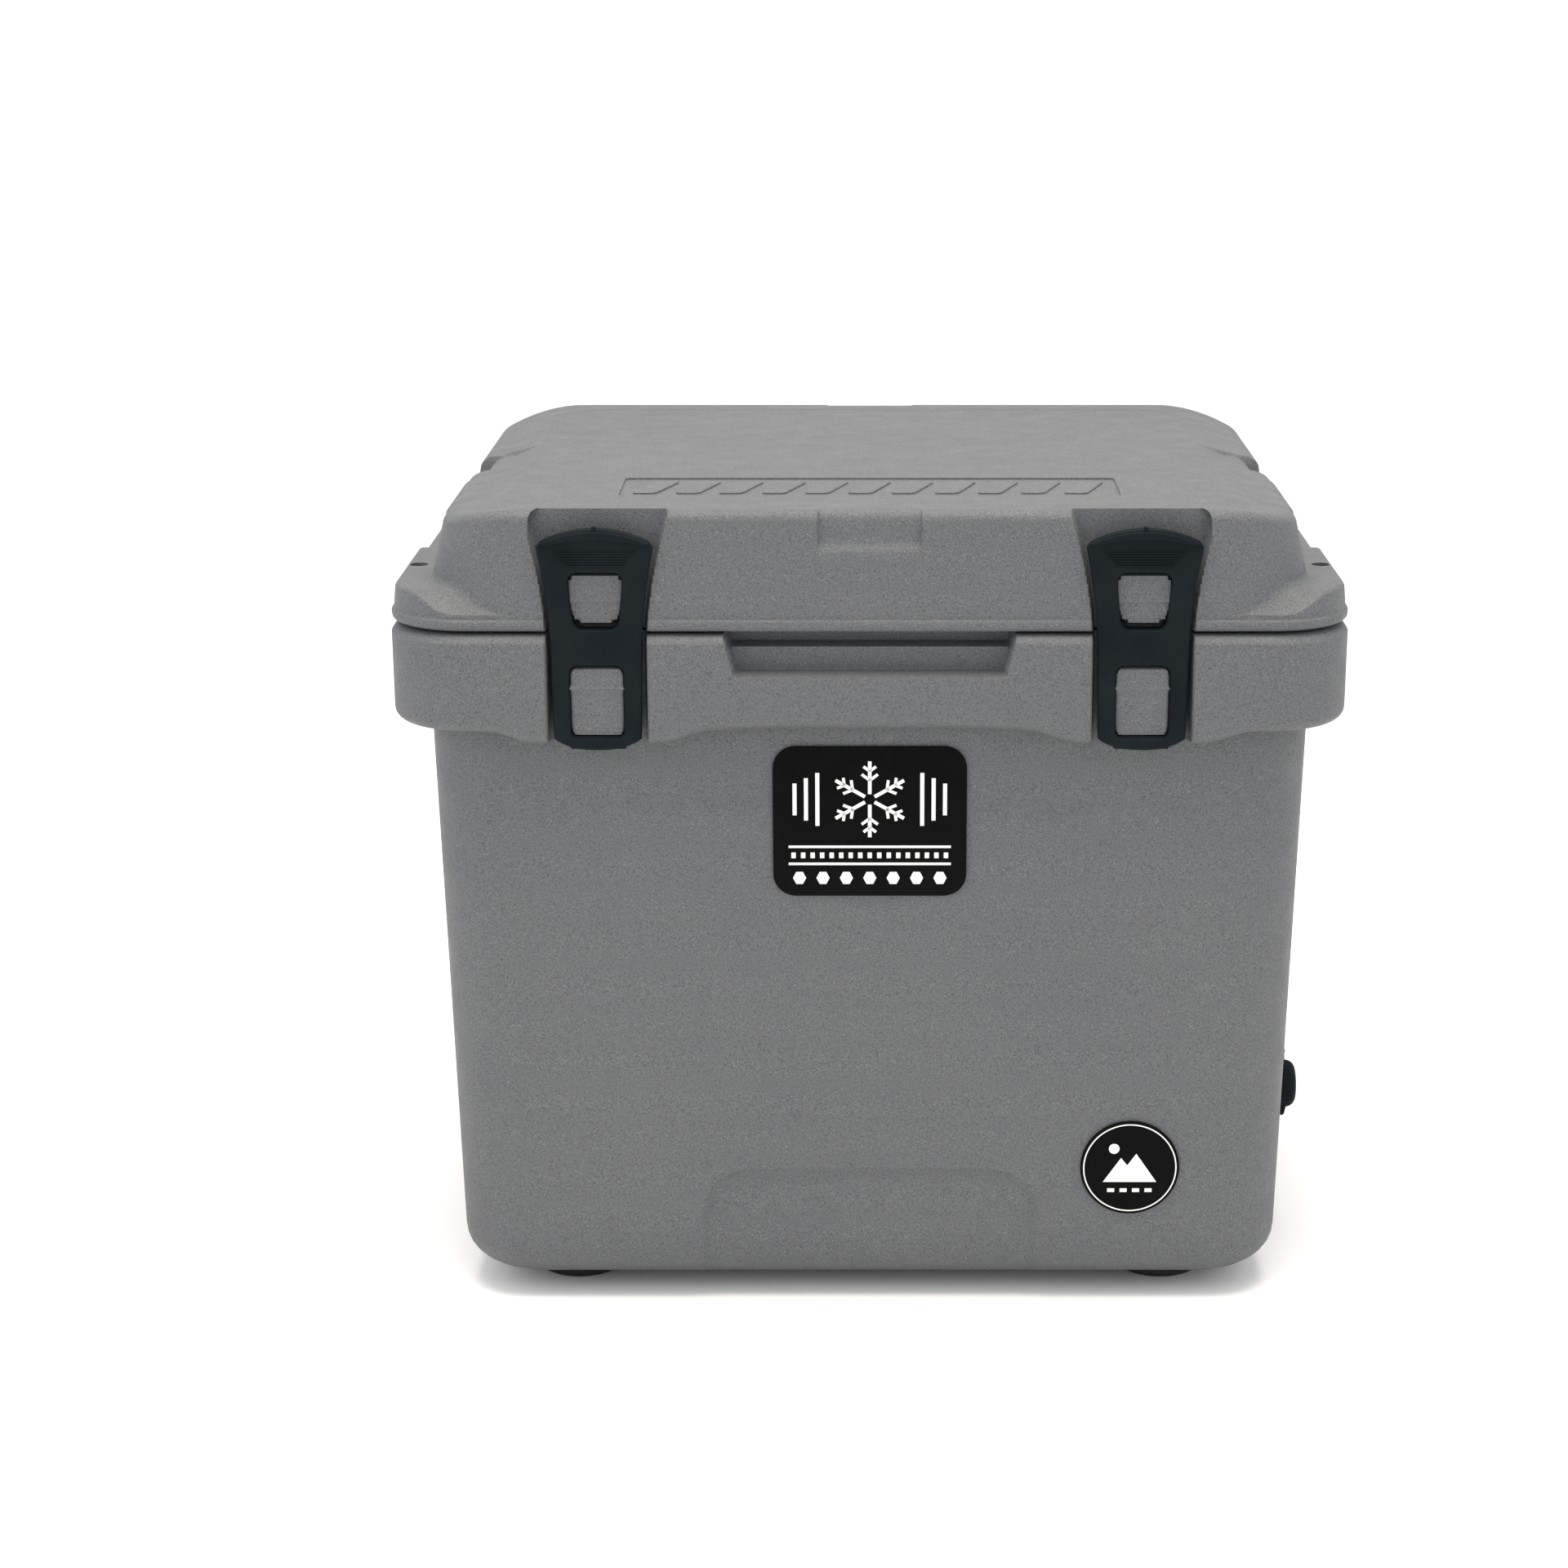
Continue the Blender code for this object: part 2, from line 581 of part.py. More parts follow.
# ================================================================ lid
def dome_rings(base, top, inset):
    """Rings of the lid's raised middle, drawn in by inset for the space inside it."""
    rings = []
    foot_w = HALF_W - DOME_SIDE_INSET - inset
    foot_d = HALF_D - DOME_FRONT_INSET - inset
    corner = DOME_CORNER - inset
    rings.append((base, foot_w, foot_d, corner))
    for step in range(5):
        angle = math.radians(90) * step / 4
        shift = DOME_LEAN + DOME_EDGE * (1 - math.cos(angle))
        z = top - DOME_EDGE * (1 - math.sin(angle))
        rings.append((z, foot_w - shift, foot_d - shift, corner - shift * 0.6))
    return rings


def lid_outer():
    lip_d = HALF_D - DOME_FRONT_INSET + LIP_PROUD
    lip = [
        (LID_BASE, HALF_W - LIP_CHAMFER, lip_d - LIP_CHAMFER, RIM_CORNER - LIP_CHAMFER),
        (LID_BASE + LIP_CHAMFER, HALF_W, lip_d, RIM_CORNER),
        (LID_BASE + LIP_HEIGHT, HALF_W, lip_d, RIM_CORNER),
    ]
    inside = LID_BASE + LIP_HEIGHT / 3
    tab_top = LID_BASE + TAB_HEIGHT
    ear = SEAT_GAP
    tabs = [
        (inside, HALF_W - ear, HALF_D - DOME_FRONT_INSET - ear, RIM_CORNER),
        (tab_top - LIP_CHAMFER, HALF_W - ear, HALF_D - DOME_FRONT_INSET - ear, RIM_CORNER),
        (tab_top, HALF_W - ear - LIP_CHAMFER, HALF_D - DOME_FRONT_INSET - ear - LIP_CHAMFER, RIM_CORNER),
    ]
    ears = loft(tabs)
    for side in (-1, 1):
        low, high = sorted((side * (HALF_W - DOME_SIDE_INSET * 1.5), side * (HALF_W + BEYOND)))
        cut(ears, box((low, -SIDE_DIP_HALF, tab_top - SIDE_DIP), (high, SIDE_DIP_HALF, tab_top + BEYOND)))
    dome = dome_rings(inside * 1.001, LID_TOP, 0)
    return join(loft(lip), ears, loft(dome))


def lid_plug():
    """The step under the lid that drops into the ice box."""
    half_w = ice_box_half(PARTING_Z - PLUG_DEPTH, ICE_HALF_W) - PLUG_GAP
    half_d = ice_box_half(PARTING_Z - PLUG_DEPTH, ICE_HALF_D) - PLUG_GAP
    corner = ICE_BOX_CORNER - PLUG_GAP
    low = PARTING_Z - PLUG_DEPTH
    rings = [
        (low, half_w - 0.004, half_d - 0.004, corner - 0.004),
        (low + 0.004, half_w, half_d, corner),
        (LID_BASE + LIP_HEIGHT / 2, half_w, half_d, corner),
    ]
    return loft(rings)


def lid_foam_space(shrink):
    """The space inside the lid, or the foam slab that fills it to within shrink."""
    inset = LID_FOAM_INSET - DOME_SIDE_INSET + shrink
    front = LID_FOAM_INSET + shrink
    low = LID_BASE + LID_FOAM_BASE + shrink
    high = LID_TOP - PANEL_DEPTH - SKIN - shrink
    half_w = HALF_W - DOME_SIDE_INSET - inset
    half_d = HALF_D - front
    rings = [
        (low, half_w, half_d, DOME_CORNER - inset),
        (high - 0.008, half_w - 0.002, half_d - 0.002, DOME_CORNER - inset),
        (high, half_w - 0.010, half_d - 0.010, DOME_CORNER - inset - 0.008),
    ]
    return loft(rings)


def gasket_ring(width, low, high):
    """A band around the ice box's mouth."""
    inner_w = ICE_HALF_W + GASKET_FROM_ICE_BOX - width / 2
    inner_d = ICE_HALF_D + GASKET_FROM_ICE_BOX - width / 2
    corner = ICE_BOX_CORNER + GASKET_FROM_ICE_BOX
    outer = loft([(z, inner_w + width, inner_d + width, corner + width / 2) for z in (low, high)])
    hole = loft([(z, inner_w, inner_d, corner - width / 2) for z in (low - BEYOND, high + BEYOND)])
    return cut(outer, hole)


def make_lid_shell(mat):
    shell = join(lid_outer(), lid_plug())
    panel_w = HALF_W - DOME_SIDE_INSET - DOME_LEAN - DOME_EDGE - PANEL_MARGIN + 0.012
    panel_d = HALF_D - DOME_FRONT_INSET - DOME_LEAN - DOME_EDGE - PANEL_MARGIN + 0.016
    rings = [
        (LID_TOP - PANEL_DEPTH, panel_w - 0.003, panel_d - 0.003, 0.020),
        (LID_TOP + PANEL_DEPTH, panel_w + 0.003, panel_d + 0.003, 0.026),
    ]
    cut(shell, loft(rings))
    cut_hinge(shell, lid_knuckles(), body_knuckles(), LID_BEVEL_ANGLE, 1)
    low = LID_TOP - LID_NOTCH_HEIGHT
    notch = [(-LID_NOTCH_FOOT_HALF, low), (LID_NOTCH_FOOT_HALF, low)]
    notch += [(LID_NOTCH_TOP_HALF, LID_TOP + BEYOND), (-LID_NOTCH_TOP_HALF, LID_TOP + BEYOND)]
    notch_depth = DOME_FRONT_INSET + DOME_LEAN + LID_NOTCH_DEPTH
    cut(shell, extrude(notch, FRONT - BEYOND, FRONT + notch_depth, "y"))
    for side in (-1, 1):
        cut(shell, latch_channel(side))
        join(shell, lug(side, UPPER_LUG_HALF, PARTING_Z + UPPER_LUG_FOOT, UPPER_LUG_HEIGHT, UPPER_LUG_FRONT, 0.003))
    cut(shell, *tie_holes(PARTING_Z - BEYOND, LID_TOP + BEYOND))
    cut(shell, gasket_ring(GASKET_WIDTH + 2 * SEAT_GAP, LID_BASE - BEYOND, LID_BASE + GASKET_HEIGHT - GASKET_CREST))
    cut(shell, lid_foam_space(0))
    cut(shell, cylinder((0, 0, 0), "z", FILL_HOLE_RADIUS, PARTING_Z - PLUG_DEPTH - BEYOND, LID_TOP - LID_HEIGHT / 2, 24))
    return finish(shell, "lid_shell", mat)


def make_lid_foam(mat):
    return finish(lid_foam_space(SEAT_GAP), "lid_foam", mat)


def make_lid_gasket(mat):
    high = LID_BASE + GASKET_HEIGHT - GASKET_CREST - SEAT_GAP
    return finish(gasket_ring(GASKET_WIDTH, LID_BASE - GASKET_CREST, high), "lid_gasket", mat)


# ================================================================ hinge rod
def make_hinge_rod(mat, cap_mat):
    finish(along_hinge(ROD_RADIUS, -HINGE_HALF_LENGTH, HINGE_HALF_LENGTH), "hinge_rod", mat)
    for side, name in ((-1, "hinge_rod_cap_left"), (1, "hinge_rod_cap_right")):
        inner = side * (HINGE_HALF_LENGTH + SEAT_GAP)
        outer = side * (HINGE_HALF_LENGTH + ROD_CAP_LENGTH)
        edge = side * (HINGE_HALF_LENGTH + ROD_CAP_LENGTH * 0.7)
        profile = [(0, inner), (ROD_CAP_RADIUS, inner), (ROD_CAP_RADIUS, edge), (ROD_CAP_RADIUS * 0.7, outer), (0, outer)]
        finish(turned(profile, (0, HINGE_Y, HINGE_Z), "x", 24), name, cap_mat)


# ================================================================ latches
def latch_half(z):
    """Half width of a latch at a height: straight below the parting line, flaring to the ears."""
    rise = max(0.0, (z - PARTING_Z - 0.006) / (LATCH_TOP - 0.012))
    return LATCH_HALF + (LATCH_EAR_HALF - LATCH_HALF) * min(1.0, rise) ** 1.7


def latch_outline(side):
    low = LATCH_PIVOT_Z
    heights = [low, PARTING_Z]
    heights += [PARTING_Z + (LATCH_TOP - 0.007) * step / 6 for step in range(1, 7)]
    x = side * LATCH_X
    right = [(x + latch_half(z), z) for z in heights]
    crown = []
    top_half = latch_half(heights[-1]) - 0.002
    crown_height = PARTING_Z + LATCH_TOP - 0.0055
    for step in range(9):
        across = 1 - step / 4
        crown.append((x + top_half * across, crown_height + 0.0055 * (1 - across * across)))
    left = [(x - latch_half(z), z) for z in reversed(heights)]
    return right + crown + left


def make_latch(side, name, mat):
    x = side * LATCH_X
    face = FRONT + LATCH_FRONT
    back = face + LATCH_THICKNESS
    ear_back = face + LATCH_EAR_THICKNESS
    pivot = (x, LATCH_PIVOT_Y, LATCH_PIVOT_Z)
    latch = extrude(latch_outline(side), face, back, "y")
    ear_low = PARTING_Z + 0.004
    ear_high = PARTING_Z + LATCH_TOP + BEYOND
    for way in (-1, 1):
        low_x, high_x = sorted((x + way * (LATCH_HALF - SEAT_GAP), x + way * LATCH_EAR_HALF * 2))
        cut(latch, box((low_x, ear_back, ear_low), (high_x, back + BEYOND, ear_high)))
    groove_half = UPPER_LUG_HALF + LATCH_GAP
    window_low = PARTING_Z + UPPER_LUG_FOOT - LATCH_GAP * 3
    cut(latch, box((x - groove_half, ear_back, window_low), (x + groove_half, back + BEYOND, ear_high)))
    window_high = PARTING_Z + UPPER_LUG_FOOT + UPPER_LUG_HEIGHT + LATCH_GAP
    upper = [(x - groove_half + 0.003, window_low), (x + groove_half - 0.003, window_low)]
    upper += [(x + groove_half, window_low + 0.008), (x + groove_half, window_high - 0.004)]
    upper += [(x + groove_half - 0.004, window_high), (x - groove_half + 0.004, window_high)]
    upper += [(x - groove_half, window_high - 0.004), (x - groove_half, window_low + 0.008)]
    cut(latch, extrude(upper, face - BEYOND, back + BEYOND, "y"))
    lower_half = LOWER_LUG_HALF + LATCH_GAP
    lower_low = LATCH_PIVOT_Z - BEYOND
    lower_high = PARTING_Z + LOWER_LUG_TOP + LATCH_GAP
    cut(latch, box((x - lower_half, face - BEYOND, lower_low), (x + lower_half, back + BEYOND, lower_high)))
    join(latch, cylinder(pivot, "x", LATCH_BARREL, -LATCH_HALF + SEAT_GAP, LATCH_HALF - SEAT_GAP, 20))
    cut(latch, cylinder(pivot, "x", LATCH_PIN_RADIUS + SEAT_GAP, -LATCH_HALF - BEYOND, LATCH_HALF + BEYOND, 12))
    return finish(latch, name, mat, pivot)


def make_latch_pin(side, name, mat):
    pivot = (side * LATCH_X, LATCH_PIVOT_Y, LATCH_PIVOT_Z)
    reach = CHANNEL_HALF + LATCH_PIN_REACH
    return finish(cylinder(pivot, "x", LATCH_PIN_RADIUS, -reach, reach, 12), name, mat)


# ================================================================ feet
def make_foot(name, x, y, mat):
    top = FOOT_PROUD + FOOT_RECESS - SEAT_GAP
    hole = FOOT_SCREW_RADIUS + SEAT_GAP
    profile = [
        (FOOT_COUNTERBORE, 0),
        (FOOT_RADIUS - 0.003, 0),
        (FOOT_RADIUS, 0.003),
        (FOOT_RADIUS, top),
        (hole, top),
        (hole, FOOT_FLOOR),
        (FOOT_COUNTERBORE, FOOT_FLOOR),
    ]
    return finish(turned(profile, (x, y, 0), "z"), "foot_" + name, mat)


def make_foot_screw(name, x, y, mat):
    head = FOOT_FLOOR - SEAT_GAP
    profile = [
        (0, head - FOOT_HEAD_HEIGHT),
        (FOOT_HEAD_RADIUS * 0.8, head - FOOT_HEAD_HEIGHT),
        (FOOT_HEAD_RADIUS, head - FOOT_HEAD_HEIGHT * 0.5),
        (FOOT_HEAD_RADIUS, head),
        (FOOT_SCREW_RADIUS, head),
        (FOOT_SCREW_RADIUS, head + FOOT_SCREW_LENGTH - 0.003),
        (0, head + FOOT_SCREW_LENGTH),
    ]
    return finish(turned(profile, (x, y, 0), "z", 16), "foot_screw_" + name, mat)


# ================================================================ drain
def make_drain(hard, soft, rubber, steel):
    face = drain_face()
    centre = (0, DRAIN_Y, DRAIN_Z)
    seal_out = face + DRAIN_SEAL_THICKNESS
    flange_in = seal_out + SEAT_GAP
    flange_out = flange_in + DRAIN_FLANGE_THICKNESS
    inner_wall = ice_box_half(DRAIN_Z - DRAIN_NUT, ICE_HALF_W)
    nut_out = inner_wall - SEAT_GAP
    nut_in = nut_out - DRAIN_NUT_THICKNESS
    tube_end = nut_in - 0.002
    seal = [(DRAIN_TUBE + SEAT_GAP, face + SEAT_GAP), (DRAIN_FLANGE - 0.001, face + SEAT_GAP)]
    seal += [(DRAIN_FLANGE - 0.001, seal_out), (DRAIN_TUBE + SEAT_GAP, seal_out)]
    finish(turned(seal, centre, "x"), "drain_seal", rubber)

    fitting = [
        (DRAIN_BORE, tube_end),
        (DRAIN_TUBE, tube_end),
        (DRAIN_TUBE, flange_in),
        (DRAIN_FLANGE, flange_in),
        (DRAIN_FLANGE, flange_out - 0.0015),
        (DRAIN_FLANGE - 0.0015, flange_out),
        (DRAIN_BORE, flange_out),
    ]
    body = turned(fitting, centre, "x")
    hinge_z = DRAIN_Z + DRAIN_HINGE_RISE
    hinge_x = flange_out + DRAIN_EYE_RADIUS + SEAT_GAP
    for way in (-1, 1):
        start, end = sorted((way * (DRAIN_STRAP_HALF + SEAT_GAP), way * (DRAIN_STRAP_HALF + DRAIN_EAR)))
        ear = [(flange_in + 0.0005, DRAIN_Z + DRAIN_FLANGE * 0.75), (flange_out - 0.0005, DRAIN_Z + DRAIN_FLANGE * 0.75)]
        ear += arc(hinge_x, hinge_z, DRAIN_EYE_RADIUS, -40, 130, 6)
        ear += [(flange_in + 0.0005, hinge_z + 0.001)]
        join(body, extrude(ear, DRAIN_Y + start, DRAIN_Y + end, "y"))
    pin_reach = DRAIN_STRAP_HALF + DRAIN_EAR
    hinge = (hinge_x, DRAIN_Y, hinge_z)
    cut(body, cylinder(hinge, "y", DRAIN_PIN_RADIUS + SEAT_GAP / 2, -pin_reach - BEYOND, pin_reach + BEYOND, 12))
    finish(body, "drain_fitting", hard)
    finish(cylinder(hinge, "y", DRAIN_PIN_RADIUS, -pin_reach, pin_reach, 12), "drain_hinge_pin", steel)

    nut = turned(
        [
            (DRAIN_TUBE + SEAT_GAP, nut_in),
            (DRAIN_NUT, nut_in),
            (DRAIN_NUT, nut_out),
            (DRAIN_TUBE + SEAT_GAP, nut_out),
        ],
        centre,
        "x",
        24,
    )
    for step in range(6):
        angle = math.radians(60 * step)
        at = (0, DRAIN_Y + DRAIN_NUT * 1.04 * math.cos(angle), DRAIN_Z + DRAIN_NUT * 1.04 * math.sin(angle))
        cut(nut, cylinder(at, "x", 0.0022, nut_in - BEYOND, nut_out + BEYOND, 12))
    finish(nut, "drain_nut", hard)

    cap_in = flange_out + SEAT_GAP
    cap_out = cap_in + DRAIN_CAP_LENGTH
    cap = [
        (0, cap_in - DRAIN_STUB_LENGTH),
        (DRAIN_STUB - 0.001, cap_in - DRAIN_STUB_LENGTH),
        (DRAIN_STUB, cap_in - DRAIN_STUB_LENGTH + 0.001),
        (DRAIN_STUB, cap_in),
        (DRAIN_CAP, cap_in),
        (DRAIN_CAP, cap_out - 0.005),
        (DRAIN_CAP - 0.0015, cap_out - 0.002),
        (DRAIN_CAP - 0.004, cap_out),
        (0, cap_out),
    ]
    plug = turned(cap, centre, "x")
    strap_x = hinge_x + DRAIN_EYE_RADIUS
    strap = [(cap_in + 0.0005, DRAIN_Z + DRAIN_CAP * 0.7), (strap_x, DRAIN_Z + DRAIN_CAP * 0.7)]
    strap += [(strap_x, hinge_z)]
    strap += arc(hinge_x, hinge_z, DRAIN_EYE_RADIUS, 20, 180, 6)
    strap_half = DRAIN_STRAP_HALF
    join(plug, extrude(strap, DRAIN_Y - strap_half, DRAIN_Y + strap_half, "y"))
    lip = [(cap_in + 0.002, DRAIN_Z - DRAIN_CAP * 0.8), (cap_in + 0.003, DRAIN_Z - DRAIN_CAP - 0.004)]
    lip += [(cap_in + 0.006, DRAIN_Z - DRAIN_CAP - 0.004), (cap_in + 0.007, DRAIN_Z - DRAIN_CAP * 0.8)]
    join(plug, extrude(lip, DRAIN_Y - 0.006, DRAIN_Y + 0.006, "y"))
    cut(plug, cylinder(hinge, "y", DRAIN_PIN_RADIUS + SEAT_GAP, -pin_reach - BEYOND, pin_reach + BEYOND, 12))
    finish(plug, "drain_plug", soft, hinge)


# ================================================================ badges
def badge_on_front(outline, x, z, name, mat):
    """A thin plate lying on the drafted front wall."""
    plate = extrude(outline, -BADGE_THICKNESS - SEAT_GAP, -SEAT_GAP, "y")
    plate.data.transform(Matrix.Rotation(BODY_DRAFT, 4, "X"))
    plate.data.transform(Matrix.Translation((x, -outside_d(z), z)))
    return finish(plate, name, mat)


def make_badges(mat):
    z = RIM_BOTTOM - BADGE_BELOW_RIM - BADGE_HEIGHT / 2
    outline = rounded_rectangle(BADGE_WIDTH / 2, BADGE_HEIGHT / 2, BADGE_CORNER)
    badge_on_front(outline, 0, z, "front_badge", mat)
    badge_on_front(arc(0, 0, ROUND_BADGE_RADIUS, 0, 350, 35), ROUND_BADGE_X, ROUND_BADGE_Z, "round_badge", mat)


# ================================================================ assembly
def main():
    clear_scene()
    plastic = material("grey_rotomoulded_plastic", GREY, 0.55)
    foam = material("polyurethane_foam", FOAM, 0.9)
    latch_rubber = material("latch_rubber", INK, 0.5)
    rubber = material("black_rubber", RUBBER, 0.7)
    black_plastic = material("black_plastic", INK, 0.45)
    steel = material("stainless_steel", STEEL, 0.3, 1.0)
    vinyl = material("badge_vinyl", (0.006, 0.006, 0.007), 0.35)

    make_body_shell(plastic)
    make_ice_box_liner(plastic)
    make_body_foam(foam)
    skin_bottom = FOOT_RECESS + SKIN
    make_fill_plug("body_fill_plug", FOOT_PROUD, skin_bottom, 1, black_plastic)
    make_lid_shell(plastic)
    make_lid_foam(foam)
    lid_floor = PLUG_DEPTH + LID_GAP + LID_FOAM_BASE
    make_fill_plug("lid_fill_plug", PARTING_Z - PLUG_DEPTH, lid_floor, 1, black_plastic)
    make_lid_gasket(rubber)
    make_hinge_rod(steel, black_plastic)
    for side, end in ((-1, "left"), (1, "right")):
        make_latch(side, "latch_" + end, latch_rubber)
        make_latch_pin(side, "latch_pin_" + end, steel)
    for name, x, y in foot_places():
        make_foot(name, x, y, rubber)
        make_foot_screw(name, x, y, steel)
    make_drain(black_plastic, latch_rubber, rubber, steel)
    make_badges(vinyl)


main()
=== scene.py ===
"""Looks of the hard cooler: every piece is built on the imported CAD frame, in metres, +Z up, front -Y."""

import math

import bmesh
import bpy
import numpy as np
from mathutils import Matrix, Vector


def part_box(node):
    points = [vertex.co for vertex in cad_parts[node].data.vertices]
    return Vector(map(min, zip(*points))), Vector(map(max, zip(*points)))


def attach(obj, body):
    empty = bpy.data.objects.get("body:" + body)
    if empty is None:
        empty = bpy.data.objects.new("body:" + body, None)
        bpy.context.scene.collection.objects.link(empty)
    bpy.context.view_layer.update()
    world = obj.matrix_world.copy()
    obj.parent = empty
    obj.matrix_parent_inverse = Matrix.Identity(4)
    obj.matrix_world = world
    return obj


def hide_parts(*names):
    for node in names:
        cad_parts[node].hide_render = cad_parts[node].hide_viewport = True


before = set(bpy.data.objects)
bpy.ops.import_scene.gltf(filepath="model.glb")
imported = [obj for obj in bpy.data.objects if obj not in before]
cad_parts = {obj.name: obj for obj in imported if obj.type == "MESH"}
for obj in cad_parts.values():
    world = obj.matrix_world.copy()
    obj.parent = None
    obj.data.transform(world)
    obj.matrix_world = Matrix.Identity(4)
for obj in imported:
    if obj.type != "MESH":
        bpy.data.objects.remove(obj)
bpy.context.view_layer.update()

# ---- sizes taken from the CAD nodes
_, LID_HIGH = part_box("lid_shell")
GASKET_LOW, GASKET_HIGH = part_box("lid_gasket")
BODY_LOW, BODY_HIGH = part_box("body_shell")
BADGE_LOW, BADGE_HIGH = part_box("front_badge")
ROUND_LOW, ROUND_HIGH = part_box("round_badge")
ROD_LOW, ROD_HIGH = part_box("hinge_rod")
LATCH_LOW, LATCH_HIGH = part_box("latch_right")
FOOT_LOW, FOOT_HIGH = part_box("foot_front_right")
SEAL_LOW, SEAL_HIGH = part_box("drain_seal")
NUT_LOW, NUT_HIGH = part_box("drain_nut")
_, PLUG_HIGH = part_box("drain_plug")
PIN_LOW, PIN_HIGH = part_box("drain_hinge_pin")

W = BODY_HIGH.x
D = -BODY_LOW.y
BASE = BODY_LOW.z
TOP = LID_HIGH.z
PARTING = GASKET_LOW.z - 0.0005  # the body's top face
LID_BASE = PARTING + 0.0015  # the lid's lower face
HINGE_Y = (ROD_LOW.y + ROD_HIGH.y) / 2
HINGE_Z = (ROD_LOW.z + ROD_HIGH.z) / 2
HINGE_END = ROD_HIGH.x
LATCH_X = (LATCH_LOW.x + LATCH_HIGH.x) / 2
LATCH_TOP = LATCH_HIGH.z
LATCH_BOTTOM = LATCH_LOW.z
FOOT_X = (FOOT_LOW.x + FOOT_HIGH.x) / 2
FOOT_Y = -(FOOT_LOW.y + FOOT_HIGH.y) / 2
FOOT_R = (FOOT_HIGH.x - FOOT_LOW.x) / 2
DRAIN_Y = (SEAL_LOW.y + SEAL_HIGH.y) / 2
DRAIN_Z = (SEAL_LOW.z + SEAL_HIGH.z) / 2
DRAIN_R = (SEAL_HIGH.z - SEAL_LOW.z) / 2
DRAIN_CENTRE = (0, DRAIN_Y, DRAIN_Z)
PIN_X = (PIN_LOW.x + PIN_HIGH.x) / 2
PIN_Z = (PIN_LOW.z + PIN_HIGH.z) / 2
HINGE_CENTRE = (0, HINGE_Y, HINGE_Z)

# ---- looks
RIM_R = 0.045  # upright corners of the rim band
RIM_EDGE = 0.0085  # rounded lower edge of the rim band
WALL_IN = 0.019  # drafted walls, in from the rim band
WALL_R = 0.038
WALL_FOOT_R = 0.025  # rounded edge between the walls and the underside
DRAFT_ANGLE = math.radians(1.65)
DRAFT = math.tan(DRAFT_ANGLE)
CHANNEL_HALF = 0.0262  # half width of a latch channel at the parting line
FLARE = 0.0385  # and at the lid's top
CHANNEL_IN = 0.0158
CORE_X = 0.186  # front and back columns keep their X out to here
CORE_Y = 0.150
SOFT = 0.0016
ICE_SIDE = 0.074  # mouth of the ice box, in from the rim band
ICE_FRONT = 0.077
ICE_R = 0.022
ICE_FOOT_R = 0.012
ICE_FLOOR = BASE + 0.056
LID_DROP = 0.012  # the lid's plug hangs this far into the ice box
LID_PLUG_R = 0.019
DOME_R = 0.052
TIE_HOLE_R = 0.0051
TIE_HOLE_IN = 0.0095
TIE_HOLE_FROM_END = 0.090
DISH_HALF = 0.0272  # shallow finger dishes in the lid's top edge
DISH_FRONT = 0.0030
DISH_SIDE = 0.0075
MARK_Y = -D + 0.0880  # recessed rectangle in the lid's top
SHARP = 38
LEAST = 0.0001  # a turned profile ends this close to its axis


# ==== meshes
def smooth(low, high, x):
    t = np.clip((np.asarray(x, float) - low) / (high - low), 0, 1)
    return t * t * (3 - 2 * t)


def inside(x, half, soft=SOFT):
    """1 where |x| is under half, 0 beyond, with a soft edge."""
    return 1 - smooth(half - soft / 2, half + soft / 2, np.abs(x))


def quarter(steps, first=0):
    """(1 - sine, 1 - cosine) at each step of a quarter turn."""
    turns = [math.pi / 2 * k / steps for k in range(first, steps + 1)]
    return [(1 - math.sin(a), 1 - math.cos(a)) for a in turns]


def add(name, verts, faces, body, slot, node=None, angle=SHARP, mat=None):
    mesh = bpy.data.meshes.new(name)
    mesh.from_pydata([tuple(v) for v in verts], [], [tuple(f) for f in faces])
    bm = bmesh.new()
    bm.from_mesh(mesh)
    bmesh.ops.remove_doubles(bm, verts=bm.verts, dist=2e-6)
    bmesh.ops.dissolve_degenerate(bm, dist=1e-6, edges=bm.edges)
    bmesh.ops.recalc_face_normals(bm, faces=bm.faces)
    bm.to_mesh(mesh)
    bm.free()
    obj = bpy.data.objects.new(name, mesh)
    return dress(obj, body, slot, node, angle, mat)


def dress(obj, body, slot, node=None, angle=SHARP, mat=None):
    """Hangs a new piece on its body, in its slot's material, in place of the CAD nodes it stands for."""
    bpy.context.scene.collection.objects.link(obj)
    obj.data.materials.append(MATERIALS[mat or slot])
    obj.data.shade_smooth()
    obj.data.set_sharp_from_angle(angle=math.radians(angle))
    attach(obj, body)
    for each in [node] if isinstance(node, str) else node or []:
        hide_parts(each)
    return obj


